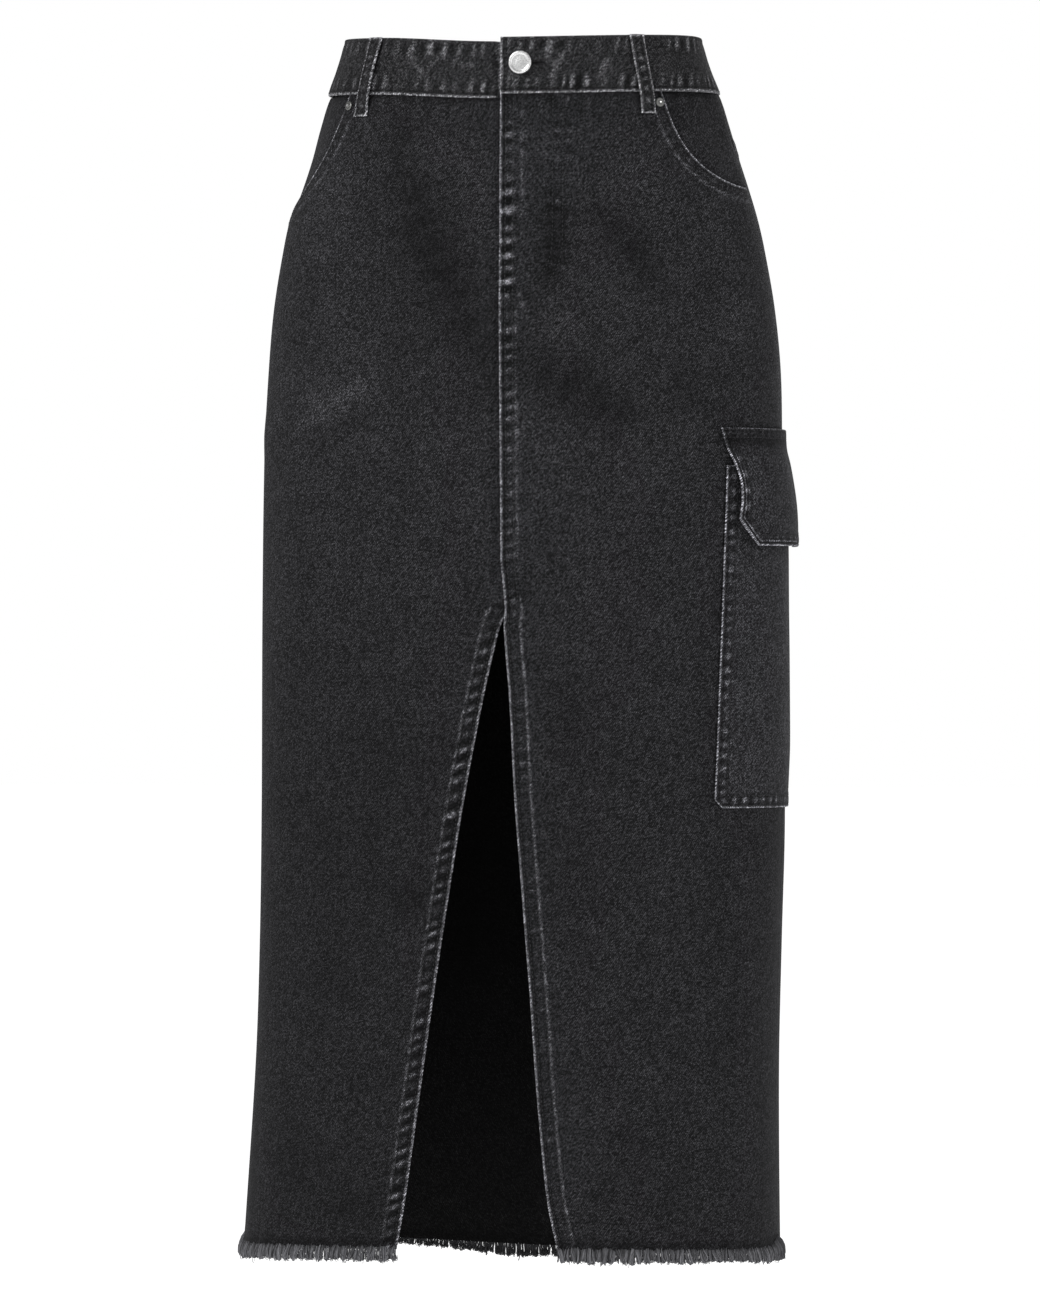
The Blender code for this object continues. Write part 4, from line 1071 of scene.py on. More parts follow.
POCKET_TOP = 0.308
POCKET_END = 0.5545
POCKET_TOP_HALF = 0.0695
POCKET_END_HALF = 0.0840
POCKET_MEAN_HALF = 0.077
POCKET_CORNER = 0.006  # how much is cut off its lower corners
POCKET_PUFF = 0.0014
POCKET_STITCHES = (0.0016, 0.0088)  # distances of the rows from its sewn edge
FLAP_WALL = 0.0022
FLAP_HEIGHT = 0.085
FLAP_MEAN_HALF = 0.067
FLAP_CURL = 0.0016  # how far its front edge has curled outwards
FLAP_GROOVES = (0.0020, 0.0082)  # distances of the rows' grooves from its free edge, and of the rows
FLAP_STITCHES = (0.0018, 0.0082)
FLAP_TOP_STITCHES = (0.0016, 0.0070)
FLAP_CHAMFER_ACROSS = 0.016
FLAP_CHAMFER_UP = 0.019
FLAP = np.array(  # drop, half width, how far its face stands off the panel
    [
        (0.281, 0.0735, 0.0029),
        (0.295, 0.0700, 0.0036),
        (0.306, 0.0660, 0.0060),
        (0.320, 0.0630, 0.0082),
        (0.335, 0.0635, 0.0100),
        (0.350, 0.0665, 0.0109),
        (0.366, 0.0675, 0.0108),
    ]
)
DENIM_PATCH = denim("washed black denim, patch", (0.0264, 0.0263, 0.0288))


def hemmed(away, along, out, wear_and_shade, rows, seed, weight=1.0):
    """A folded and stitched edge: its worn fold with painted shadow beside it, its rows of stitching with
    painted shade in their grooves, and the puckers between them.
    """
    doubled = 1 - smooth(rows[-1] + 0.0010, rows[-1] + 0.0024, away)
    out += 0.00030 * doubled
    worn_edge, inner_edge = hump(away, 0.0003, 0.0020), hump(away, rows[-1] + 0.0014, 0.0016)
    # the fold worn pale, and painted shadow beside it
    wear_and_shade += weight * 0.90 * worn_edge - 0.30 * hump(away, 0.0030, 0.0026)
    wear_and_shade += weight * 0.28 * inner_edge * (0.6 + 0.5 * puckers(along, 0.012, seed + 1))
    # the rows' grooves, with painted shade in them
    for row in rows:
        out -= 0.00025 * hump(away, row, 0.0015)
        wear_and_shade -= 0.48 * hump(away, row + 0.0003, 0.0023)
    wave = puckers(along, 0.0088, seed) * hump(away, sum(rows) / 2, rows[-1] - rows[0])
    out += 0.00026 * wave
    wear_and_shade += 0.62 * weight * wave


def half_pocket(rise):
    """Half the pocket's width at a distance below its top."""
    return POCKET_TOP_HALF + (POCKET_END_HALF - POCKET_TOP_HALF) * rise / (POCKET_END - POCKET_TOP)


def side_seam_left(drop):
    return reach(SIDE + 0 * drop, drop)


def pocket_relief(place, drop):
    """Stand-off, wear and painted shade of the pocket's face, and the distance from its sewn edge."""
    rise = drop - POCKET_TOP
    height = POCKET_END - POCKET_TOP
    half = half_pocket(rise)
    share = np.abs(place - side_seam_left(drop)) / half
    corner = np.clip((share - 1) * POCKET_END_HALF + POCKET_CORNER, 0, None)
    full = (1 - np.clip(share, 0, 1) ** 4) * (1 - smooth(0.8, 1, rise / height))
    out = LAYER_GAP + WALL + POCKET_PUFF * full + 0.0005 * wash(place * 3, drop * 3)
    wear_and_shade = 0.06 * wash(place * 2.2, drop * 2)
    hem = np.clip(np.minimum((1 - share) * half, height - corner - rise), 0, None)
    along = np.where((1 - share) * half < height - corner - rise, drop, place + 0.8)
    hemmed(hem, along, out, wear_and_shade, POCKET_STITCHES, 71, 1.3)
    return out, wear_and_shade, hem


def pocket_lie(place, drop, turn):
    return pocket_relief(place, drop)[0]


def pocket_patch():
    """The pocket, its lines laid from its top to its lower edge with the cut-off corners."""
    near = np.concatenate([ROLL, np.arange(0.0014, 0.0128, 0.0014)])
    height = POCKET_END - POCKET_TOP
    down = np.concatenate([near, np.linspace(0.0142, height - 0.0142, 92), height - near[::-1]])
    near = near / POCKET_MEAN_HALF
    share = np.concatenate([near, np.linspace(0.19, 1.81, 50), 2 - near[::-1]]) - 1
    down, share = np.meshgrid(down, share, indexing="ij")
    corner = np.clip((np.abs(share) - 1) * POCKET_END_HALF + POCKET_CORNER, 0, None)
    end = height - corner
    rise = down / height * end
    drop = POCKET_TOP + rise
    place = side_seam_left(drop) + share * half_pocket(rise)
    turn = turn_at(place, drop)
    out, wear_and_shade, hem = pocket_relief(place, drop)
    wear_and_shade += 0.5 * hump(rise, 0.0003, 0.002)  # its upper edge
    edge = np.where((np.abs(share) == 1) | (down == height), 0, np.minimum(hem, rise))
    return cloth_wall("cargo_pocket_patch", turn, drop, out, edge, wear_and_shade, [DENIM_PATCH, DENIM_INSIDE_PAINTED_SHADE])


def flap_outline():
    """Half of the flap's outline on the flat cloth: distance from the side seam, and drop."""
    drops = np.linspace(FLAP[0, 0], FLAP[-1, 0] - FLAP_CHAMFER_UP, 30)
    side_edge = np.stack([curve(FLAP, 1, drops), drops], -1)
    corner = [(FLAP[-1, 1] - FLAP_CHAMFER_ACROSS, FLAP[-1, 0]), (0, FLAP[-1, 0])]
    return np.vstack([side_edge, corner])


def flap_surface(share, down):
    """Distance from the side seam, drop and stand-off of the flap, for shares across and down it."""
    chamfer = FLAP_CHAMFER_ACROSS / FLAP[-1, 1]
    cut = FLAP_CHAMFER_UP * np.clip((np.abs(share) - 1 + chamfer) / chamfer, 0, 1)
    drop = FLAP[0, 0] + (FLAP[-1, 0] - cut - FLAP[0, 0]) * down
    offset = share * curve(FLAP, 1, drop)
    return offset, drop, curve(FLAP, 2, drop)


def flap_relief(offset, drop, out):
    """Distances from the flap's edge and top, stand-off, and wear with painted shade; its front edge has
    curled outwards.
    """
    away, along = to_line(flap_outline(), np.abs(offset), drop)
    wear_and_shade = 0.06 * wash(offset * 2.4 + 1, drop * 2.4)
    out = out + 0.0004 * wash(offset * 4, drop * 4)
    hemmed(away, along + 0.3 * (offset > 0), out, wear_and_shade, FLAP_GROOVES, 75)
    front_edge = smooth(FLAP[1, 0] - 0.008, FLAP[3, 0], drop) * (offset < 0)
    wear_and_shade += (0.5 * hump(away, 0.0004, 0.0018) + 1.3 * hump(away, 0.0034, 0.0015)) * front_edge
    # painted shade along the curled front edge, in the first row's groove and past its worn strip
    wear_and_shade -= (0.5 * hump(away, 0.0020, 0.0012) + 0.5 * hump(away, 0.0049, 0.0014)) * front_edge
    curl = FLAP_CURL * hump(away, 0, 0.0080)
    out += curl * smooth(FLAP[1, 0], FLAP[3, 0], drop) * (offset < 0)
    top = drop - FLAP[0, 0]
    upper, lower = FLAP_TOP_STITCHES
    out -= 0.0002 * hump(top, upper, 0.0015) + 0.0002 * hump(top, lower, 0.0015)
    # a darker band below the top, and painted shade in the groove of the upper row
    wear_and_shade -= 0.70 * hump(top, 0.0090, 0.0120) + 0.5 * hump(top, 0.0020, 0.0020)
    top_puckers = 0.42 * puckers(offset + 0.2, 0.0085, 77) * hump(top, 0.0045, 0.004)
    wear_and_shade += 0.6 * hump(top, 0.0003, 0.0018) + top_puckers
    return away, top, out, wear_and_shade


def pocket_flap():
    near = np.append(ROLL / WALL * FLAP_WALL, np.arange(0.0016, 0.0100, 0.0006))
    side_part, end_part = near / FLAP_MEAN_HALF, near / FLAP_HEIGHT
    share = np.concatenate([side_part, np.linspace(0.165, 1.835, 76), 2 - side_part[::-1]]) - 1
    down = np.concatenate([end_part, np.linspace(0.13, 0.87, 40), 1 - end_part[::-1]])
    down, share = np.meshgrid(down, share, indexing="ij")
    offset, drop, out = flap_surface(share, down)
    away, top, out, wear_and_shade = flap_relief(offset, drop, out)
    place = side_seam_left(drop) + offset
    edge = np.minimum(away, top)
    edge = np.where((np.abs(share) == 1) | (down == 0) | (down == 1), 0, edge)
    turn = turn_at(place, drop)
    return cloth_wall("cargo_pocket_flap", turn, drop, out, edge, wear_and_shade, [DENIM_PATCH], wall=FLAP_WALL)


pocket = pocket_patch()
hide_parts("cargo_pocket")
flap = pocket_flap()
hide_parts("cargo_flap")

# ==========================================================================================================
# Topstitching
# Thick tonal thread in even stitches: one row along each edge of the band, and two on the hems, laps,
# lapped seams, loops and pocket. Each stitch dips into the cloth at its ends, and the rows lie in the
# shallow grooves that they have pulled.

STITCH = 0.0026
STITCH_GAP = 0.0006
STITCH_STATIONS = np.array([0, 0.3, 0.7, 1])  # shares of its length, and its half thickness and lift there
STITCH_HALF = np.array([0.00012, 0.00027, 0.00027, 0.00012])
STITCH_LIFT = np.array([-0.00026, 0.00014, 0.00014, -0.00026])
STITCH_WANDER = 0.00009  # how far a stitch may lie beside its row
FUZZ_SCALE = 1800
THREAD_RELIEF = 0.00008


def thread_look(name, colour, rough, vary):
    """Spun thread: a plain shade that varies from stitch to stitch, with its twist as bump."""
    look = bpy.data.materials.new(name)
    look.use_nodes = True
    tree = look.node_tree
    shader = tree.nodes["Principled BSDF"]
    tone = tree.nodes.new("ShaderNodeAttribute")
    tone.attribute_name = "tone"
    places = tree.nodes.new("ShaderNodeTexCoord").outputs["Object"]
    fuzz = tree.nodes.new("ShaderNodeTexNoise")
    fuzz.inputs["Scale"].default_value = FUZZ_SCALE
    fuzz.inputs["Detail"].default_value = 2
    tree.links.new(places, fuzz.inputs["Vector"])
    least = 1 - vary / 2
    shade = add_node(tree, "ShaderNodeMath", tone.outputs["Fac"], vary, least, operation="MULTIPLY_ADD")
    shade = add_node(tree, "ShaderNodeMath", fuzz.outputs[0], 0.8, shade, operation="MULTIPLY_ADD")
    tint = tree.nodes.new("ShaderNodeVectorMath")
    tint.operation = "SCALE"
    tint.inputs[0].default_value = colour
    tree.links.new(shade, tint.inputs["Scale"])
    tree.links.new(tint.outputs[0], shader.inputs["Base Color"])
    relief = tree.nodes.new("ShaderNodeBump")
    relief.inputs["Strength"].default_value = 1
    relief.inputs["Distance"].default_value = THREAD_RELIEF
    tree.links.new(fuzz.outputs[0], relief.inputs["Height"])
    tree.links.new(relief.outputs[0], shader.inputs["Normal"])
    shader.inputs["Roughness"].default_value = rough
    shader.inputs["Specular IOR Level"].default_value = 0.3
    return look


THREAD = thread_look("tonal topstitching thread", (0.0150, 0.0150, 0.0160), 0.75, 0.7)


def on_panel(lie, line):
    """A row of stitching on the flat cloth: its points, and the way that the cloth faces there."""
    place, drop = line[:, 0], line[:, 1]
    turn = turn_at(place, drop)
    return cloth(turn, drop, lie(place, drop, turn)), outward(turn, drop)


def strands(name, centres, sideways, upright, halves, look, tones):
    """Joined four-sided threads: for each a row of centres, two directions across, and half thicknesses."""
    count, stations = centres.shape[:2]
    corners = np.stack([sideways, upright, -sideways, -upright], 2) * halves[..., None, None]
    points = (centres[:, :, None] + corners).reshape(-1, 3)
    base = np.arange(count)[:, None] * stations * 4
    faces = []
    for k in range(stations - 1):
        for i in range(4):
            j = (i + 1) % 4
            faces.append(base + np.array([4 * k + i, 4 * k + j, 4 * k + 4 + j, 4 * k + 4 + i]))
    last = 4 * (stations - 1)
    faces += [base + np.array([3, 2, 1, 0]), base + last + np.array([0, 1, 2, 3])]
    mesh = bpy.data.meshes.new(name)
    mesh.from_pydata(points.tolist(), [], np.concatenate(faces).tolist())
    shade = np.repeat(tones, stations * 4).astype(np.float32)
    mesh.attributes.new("tone", "FLOAT", "POINT").data.foreach_set("value", shade)
    mesh.materials.append(look)
    mesh.shade_smooth()
    piece = bpy.data.objects.new(name, mesh)
    bpy.context.scene.collection.objects.link(piece)
    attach(piece, "root")
    return piece


def stitching(name, rows):
    """Joins all the stitches of one piece of cloth; each row is a pair of points and facing directions."""
    chance = np.random.default_rng(len(name))
    centres, sideways, upright = [], [], []
    for points, facing_way in rows:
        run = np.append(0, np.cumsum(np.linalg.norm(np.diff(points, axis=0), axis=1)))
        count = int((run[-1] - 0.001) / (STITCH + STITCH_GAP))
        starts = 0.0005 + (STITCH + STITCH_GAP) * np.arange(count)
        at = starts[:, None] + STITCH * STITCH_STATIONS
        centre = np.stack([np.interp(at, run, points[:, i]) for i in range(3)], -1)
        up = unit(np.stack([np.interp(at, run, facing_way[:, i]) for i in range(3)], -1))
        along = np.gradient(centre, axis=1)
        across = unit(np.cross(up, along))
        wander = chance.uniform(-STITCH_WANDER, STITCH_WANDER, (count, 1, 1))
        centres.append(centre + up * STITCH_LIFT[:, None] + across * wander)
        sideways.append(across)
        upright.append(up)
    centres, sideways, upright = (np.concatenate(v) for v in (centres, sideways, upright))
    halves = np.broadcast_to(STITCH_HALF, centres.shape[:2])
    piece = strands(name, centres, sideways, upright, halves, THREAD, chance.uniform(0, 1, len(centres)))
    return piece


def part_of(line, top, end):
    """The part of a line between two drops, in steps of 2 mm."""
    drops = np.arange(top, end, 0.002)
    return np.stack([np.interp(drops, line[:, 1], line[:, 0]), drops], -1)


for side, name in SIDES:
    def lie(place, drop, turn, side=side):
        return front_relief(side, place, drop, turn)[0]

    edge_line = CENTRE_LINES[side]
    lines = [beside(edge_line, side * distance) for distance in SLIT_STITCHES]
    lines = [part_of(line, SLIT_TOP + 0.004, LENGTH - 0.002) for line in lines]
    if side > 0:
        laps = [beside(edge_line, distance) for distance in LAP_STITCHES]
        lines += [part_of(line, BAND_HEIGHT + 0.002, SLIT_TOP + 0.002) for line in laps]
        lines += FLY_ROWS
    for distance in SCOOP_STITCHES:
        hem = beside(SCOOP_LINES[side], -side * distance)
        seam = reach(side * SIDE + 0 * hem[:, 0], hem[:, 1])
        hem = hem[(side * (seam - hem[:, 0]) > 0.0008) & (hem[:, 1] > BAND_HEIGHT + 0.0006)]
        lines.append(hem)
    stitching(f"stitching_front_{name}", [on_panel(lie, line) for line in lines])

for side, name in SIDES:
    def lie(place, drop, turn, side=side):
        return back_relief(side, place, drop, turn)[0]

    lines = []
    if side < 0:
        drops = np.arange(YOKE_CENTRE + 0.003, LENGTH, 0.003)
        lines += [np.stack([centre_back(side, drops) + row, drops], -1) for row in SEAM_STITCHES]
    turns = side * np.linspace(math.radians(90.5), math.radians(179.5), 120)
    for row in SEAM_STITCHES:
        drop = yoke_line(turns) - row
        lines.append(np.stack([reach(turns, drop), drop], -1))
    stitching(f"stitching_back_{name}", [on_panel(lie, line) for line in lines])


def band_row(turn, height):
    here, drop, out, _, _ = band_surface(turn, height)
    return cloth(here, drop, out), outward(here, drop)


band_turns = np.linspace(0.0007 / WAIST_FRONT, 2 * math.pi + UNDERLAP / 0.14, 700)
rows = [band_row(band_turns, 0 * band_turns + row) for row in BAND_STITCHES]
heights = np.linspace(0.0025, BAND_HEIGHT - 0.0025, 16)
rows.append(band_row(0 * heights + 0.0026 / WAIST_FRONT, heights))
stitching("stitching_waistband", rows)

rows = []
for loop in LOOPS:
    share = np.linspace(0.03, 0.985, 40)
    for inset in (LOOP_STITCH, LOOP_WIDTH - LOOP_STITCH):
        turn, drop, out = loop_surface(loop, inset / LOOP_WIDTH + 0 * share, share)
        rows.append((cloth(turn, drop, out), outward(turn, drop)))
    across = np.linspace(0.12, 0.88, 9)
    for tack in LOOP_TACKS:
        turn, drop, out = loop_surface(loop, across, tack + 0 * across)
        rows.append((cloth(turn, drop, out), outward(turn, drop)))
stitching("stitching_loops", rows)


def pocket_row(inset):
    """The row that runs down one side of the pocket, along its lower edge and up the other side."""
    rise = np.linspace(0.001, POCKET_END - POCKET_TOP - inset, 110)
    drop = POCKET_TOP + rise
    half = half_pocket(rise) - inset
    corner = POCKET_CORNER * 0.7
    side_part = np.stack([-half, drop], -1)[: -int(corner / 0.0022) - 1]
    lower = np.linspace(-half[-1] + corner, half[-1] - corner, 70)
    line = np.vstack([side_part, np.stack([lower, 0 * lower + drop[-1]], -1), side_part[::-1] * (-1, 1)])
    line[:, 0] += side_seam_left(line[:, 1])
    return on_panel(pocket_lie, line)


stitching("stitching_pocket", [pocket_row(inset) for inset in POCKET_STITCHES])


def on_flap(offset, drop):
    """A row of stitching at distances from the side seam, on the flap's face."""
    out = flap_relief(offset, drop, curve(FLAP, 2, drop))[2]
    turn = turn_at(side_seam_left(drop) + offset, drop)
    return cloth(turn, drop, out), outward(turn, drop)


def flap_row(inset):
    """A row round the flap's free edges."""
    half = beside(flap_outline(), -inset)
    half = half[half[:, 1] > FLAP[0, 0] + 0.0012]
    half = half[half[:, 0] >= 0]
    line = np.vstack([half * (-1, 1), half[::-1]])
    run = np.append(0, np.cumsum(np.linalg.norm(np.diff(line, axis=0), axis=1)))
    even = np.arange(0, run[-1], 0.0015)
    return on_flap(*(np.interp(even, run, line[:, i]) for i in (0, 1)))


def flap_top_row(inset):
    offset = np.linspace(0.0015 - FLAP[0, 1], FLAP[0, 1] - 0.0015, 80)
    return on_flap(offset, FLAP[0, 0] + inset + 0 * offset)


rows = [flap_row(inset) for inset in FLAP_STITCHES] + [flap_top_row(inset) for inset in FLAP_TOP_STITCHES]
stitching("stitching_flap", rows)

# ==========================================================================================================
# Frayed hem
# The panels' cut edges have been washed until the weft has fallen away. The freed warp yarns hang in curled
# tufts of uneven length with loose yarns between them, and roll up at the side seams.

FRONT_PITCH = 0.00011  # from one yarn to the next
BACK_PITCH = 0.00014
BACK_PAINTED_SHADE = 0.30  # the tone of the yarns behind, beside those in front, darker as painted shade
TUFT_PITCH = 0.0030
TUFTED = 0.6  # share of the yarns that are caught up in tufts
TUFT_LEAN = 0.0016
TUFT_SIZES = (0.40, 1.35)
LOOSE_SIZE = 0.8
LONG_YARNS = 0.03  # share of the yarns that are longer than the others by a quarter
YARN_TOP = 0.0012  # how far above the cut edge the yarns start
CORNER_RISE = 0.0078  # how much further they start above it at the side seams
CORNER_ROLL = 0.0034  # and how much further they roll out
CORNER_WIDTH = 11  # in degrees of turn
YARN_THINNEST, YARN_THICKEST = 0.00020, 0.00034  # half thickness
FRAY_YARN = thread_look("frayed cotton yarn", (0.057, 0.057, 0.061), 0.95, 1.9)
FRAY_SHARES = np.linspace(0, 1, 7)  # places along a yarn, and how thick it is there
FRAY_TAPER = np.array([0.8, 1, 1, 1, 0.95, 0.85, 0.5])


def fray(name, low, high, seed, length_at, painted_shade_factor, pitch):
    """A row of yarns from one turn to another. Most are caught up in leaning tufts, and the rest lie loose
    between and behind them. They start on the cloth's face, a little above its cut edge. Their tones carry
    painted shade: a tuft is lighter along its middle and darker at its sides, like the loose yarns."""
    chance = np.random.default_rng(seed)
    low_end, high_end = (reach(np.array(turn), np.array(LENGTH)) for turn in (low, high))
    girth = float(np.abs(high_end - low_end))
    count = int(girth / pitch)

    def among(least, most):
        return chance.uniform(least, most, (count, 1))

    # which tuft each yarn is in, and where it lies across it, from -1 to 1
    turn = np.linspace(low, high, count) + chance.uniform(-1, 1, count) * 0.002
    turn = np.clip(turn, low + 0.0015, high - 0.0015)
    run = (turn - low) / (high - low) * girth
    marks = np.cumsum(chance.uniform(0.55, 1.5, int(girth / TUFT_PITCH * 2))) * TUFT_PITCH
    tuft = np.searchsorted(marks, run)
    tuft_leans = chance.normal(0, TUFT_LEAN, len(marks) + 1)
    tuft_sizes = chance.uniform(*TUFT_SIZES, len(marks) + 1)
    ends = np.append(0, marks)
    across_tuft = (run - ends[tuft]) / (marks[tuft] - ends[tuft]) * 2 - 1
    tufted = (chance.uniform(0, 1, count) < TUFTED) * 1.0
    size = np.where(tufted > 0, tuft_sizes[tuft], LOOSE_SIZE)
    # how high each yarn starts, how far it falls, and how it strays aside and outwards
    corner = hump(np.degrees(np.abs(turn)), 90, CORNER_WIDTH)
    lump = 0.6 * puckers(run + 0.1, 0.0085, seed + 80, 0.5) + 0.4 * tufted * np.cos(across_tuft * 1.6)
    top = (YARN_TOP + 0.0011 * lump + CORNER_RISE * corner)[:, None] + chance.normal(0, 0.0005, (count, 1))
    length = (length_at(turn) * (0.72 + 0.34 * size + 0.10 * lump))[:, None]
    length = length + chance.normal(0, 0.0006, (count, 1))
    length = length * np.where(among(0, 1) < LONG_YARNS, 1.25, 1)
    fall = np.sin(FRAY_SHARES * math.pi / 2 * among(1.0, 1.7))
    height = top - (top + length) * fall
    gathered = -across_tuft * (marks[tuft] - ends[tuft]) * 0.34 * tufted + tuft_leans[tuft] * tufted
    twist = 0.0007 * np.sin(FRAY_SHARES * 5.0 + (tuft * 1.7 + across_tuft * 1.2)[:, None]) * tufted[:, None]
    curl = among(0.0002, 0.0008) * np.sin(FRAY_SHARES * among(3, 9) + among(0, 6.3)) * np.sqrt(FRAY_SHARES)
    aside = (gathered[:, None] + chance.normal(0, 0.0007, (count, 1))) * FRAY_SHARES + twist + curl
    roll = (0.0012 + 0.0006 * lump + CORNER_ROLL * corner)[:, None] * np.sin(math.pi * FRAY_SHARES**0.8)
    round_tuft = (tufted * (0.4 + 0.9 * np.cos(across_tuft * 1.5)) * 0.0011)[:, None]
    swell = round_tuft * np.sin(FRAY_SHARES * 2.4)
    stand = among(-WALL, 0.0002) * (0.35 + 0.65 * FRAY_SHARES) + roll + swell
    # the yarns' middle lines on the cloth, their thickness and their tone; the tone carries painted shade,
    # each tuft lighter along its middle and darker at its sides, the loose yarns darker like those sides
    hem = hem_line(turn)
    way = unit(body(turn + NUDGE, hem) - body(turn - NUDGE, hem))
    out = outward(turn, hem)
    wave = HEM_CURL * hem_wave(turn, reach(turn, hem)) - fold_depth(turn, hem) + 0.0003
    centre = body(turn, hem)[:, None] + way[:, None] * aside[..., None]
    centre = centre + out[:, None] * (stand + wave[:, None])[..., None]
    centre = centre + np.array([0, 0, 1]) * height[..., None]
    step = unit(np.gradient(centre, axis=1))
    across = unit(np.cross(step, np.broadcast_to(out[:, None], step.shape)))
    halves = among(YARN_THINNEST, YARN_THICKEST) * FRAY_TAPER
    tuft_painted_shade = np.where(tufted > 0, 0.25 + 1.20 * np.cos(across_tuft * 1.5), 0.26)
    tones = painted_shade_factor * (0.25 + 0.80 * chance.uniform(0, 1, count) ** 1.3) * tuft_painted_shade * (0.45 + 0.70 * size)
    piece = strands(name, centre, across, np.cross(across, step), halves, FRAY_YARN, tones)
    return piece


def front_length(turn):
    """The front has frayed evenly, and a little less below the pocket."""
    return 0.0074 - 0.0010 * hump(np.degrees(turn), 60, 40)


def back_length(turn):
    """The back has frayed less, but for two places beside the centre."""
    off_centre = 180 - np.degrees(np.abs(np.where(turn > math.pi, turn - 2 * math.pi, turn)))
    return 0.0036 + 0.0052 * hump(off_centre, 8, 26)


slit_ends = [float(turn_at(SLIT[-1, column], np.array(LENGTH))) for column in (1, 2)]
# the yarns behind are painted darker as shade
for name, low, high, seed, length_at, painted_shade_factor, pitch in (
    ("front_left", slit_ends[1], SIDE, 1, front_length, 1.0, FRONT_PITCH),
    ("front_right", -SIDE, slit_ends[0], 2, front_length, 1.0, FRONT_PITCH),
    ("back_left", SIDE, BACK, 3, back_length, BACK_PAINTED_SHADE, BACK_PITCH),
    ("back_right", -BACK, -SIDE, 4, back_length, BACK_PAINTED_SHADE, BACK_PITCH),
):
    piece = fray(f"fray_{name}", low, high, seed, length_at, painted_shade_factor, pitch)
    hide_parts(f"fringe_{name}")

# ==========================================================================================================
# Waist button and rivets
# A nickel-plated shank button with a raised rim round a plain recessed face, its tack head inside the band,
# and a small nippled rivet at the top of each pocket opening.

BUTTON_RADIUS = 0.0085
SHANK_RADIUS = 0.0019
CAP_FOOT = BAND_PROUD + 0.0009  # the cap's underside, as a distance out from the panels
CAP_THICKNESS = 0.0022
CAP_STEPS = ((0.0006, 0.0009), (0.0014, 0.0), (0.0005, -0.0008), (0.0030, 0.0003))  # inset, rise
TACK_RADIUS = 0.0048
TACK_THICKNESS = 0.0013
RIVET_RADIUS = 0.0033
RIVET_THICKNESS = 0.0009
RIVET_STEPS = ((0.0008, 0.0005), (0.0009, -0.0002), (0.0003, 0.0008), (0.0005, 0.0003))
RIVET_DROP = 0.0472
RIVET_TURNS = {"rivet_right": math.radians(-49.4), "rivet_left": math.radians(46.8)}
NIPPLE_OUT = 0.0018  # the middle of a rivet's nipple, and the reach of its brighter faces from there
NIPPLE_REACH = 0.0013
SCUFF_SCALE = 900
SCUFFED = 0.22  # how much the roughness varies


def plated(name, colour, rough):
    """Plated metal, slightly uneven and scuffed."""
    look = bpy.data.materials.new(name)
    look.use_nodes = True
    tree = look.node_tree
    shader = tree.nodes["Principled BSDF"]
    places = tree.nodes.new("ShaderNodeTexCoord").outputs["Object"]
    scuffs = tree.nodes.new("ShaderNodeTexNoise")
    scuffs.inputs["Scale"].default_value = SCUFF_SCALE
    scuffs.inputs["Detail"].default_value = 4
    tree.links.new(places, scuffs.inputs["Vector"])
    least = rough - SCUFFED / 2
    marks = scuffs.outputs[0]
    rough_here = add_node(tree, "ShaderNodeMath", marks, SCUFFED, least, operation="MULTIPLY_ADD")
    tree.links.new(rough_here, shader.inputs["Roughness"])
    relief = tree.nodes.new("ShaderNodeBump")
    relief.inputs["Strength"].default_value = 0.4
    relief.inputs["Distance"].default_value = 0.00003
    tree.links.new(marks, relief.inputs["Height"])
    tree.links.new(relief.outputs[0], shader.inputs["Normal"])
    shader.inputs["Base Color"].default_value = (*colour, 1)
    shader.inputs["Metallic"].default_value = 1
    return look


NICKEL = plated("polished nickel", (0.72, 0.72, 0.72), 0.27)
DULL_NICKEL = plated("worn dull nickel", (0.16, 0.16, 0.155), 0.42)


def disc(radius, low, high, sides=48):
    """A cylinder that stands on the cloth's plane, left in edit mode with its outer face selected."""
    bpy.ops.object.select_all(action="DESELECT")
    bpy.ops.mesh.primitive_cylinder_add(
        vertices=sides,
        radius=radius,
        depth=high - low,
        location=(0, 0, (low + high) / 2),
        end_fill_type="NGON",
    )
    made = bpy.context.object
    bpy.ops.object.transform_apply(location=True, rotation=False, scale=False)
    bpy.ops.object.mode_set(mode="EDIT")
    mesh = bmesh.from_edit_mesh(made.data)
    for face in mesh.faces:
        face.select_set(face.normal.z > 0.9)
    bmesh.update_edit_mesh(made.data)
    return made


def inset_steps(steps):
    """Insets the selected face again and again, and raises or sinks it each time."""
    for thickness, depth in steps:
        bpy.ops.mesh.inset(thickness=thickness, depth=depth)
    bpy.ops.object.mode_set(mode="OBJECT")


def standing(turn, drop, out):
    """The matrix that sets a piece on the cloth, its own Z facing outwards and its own X sideways."""
    turn, drop, out = np.array(turn), np.array(drop), np.array(out)
    facing_way = Vector(outward(turn, drop))
    side_way = Vector((0, 0, 1)).cross(facing_way).normalized()
    here = Matrix((side_way, facing_way.cross(side_way), facing_way)).transposed().to_4x4()
    here.translation = Vector(cloth(turn, drop, out))
    return here


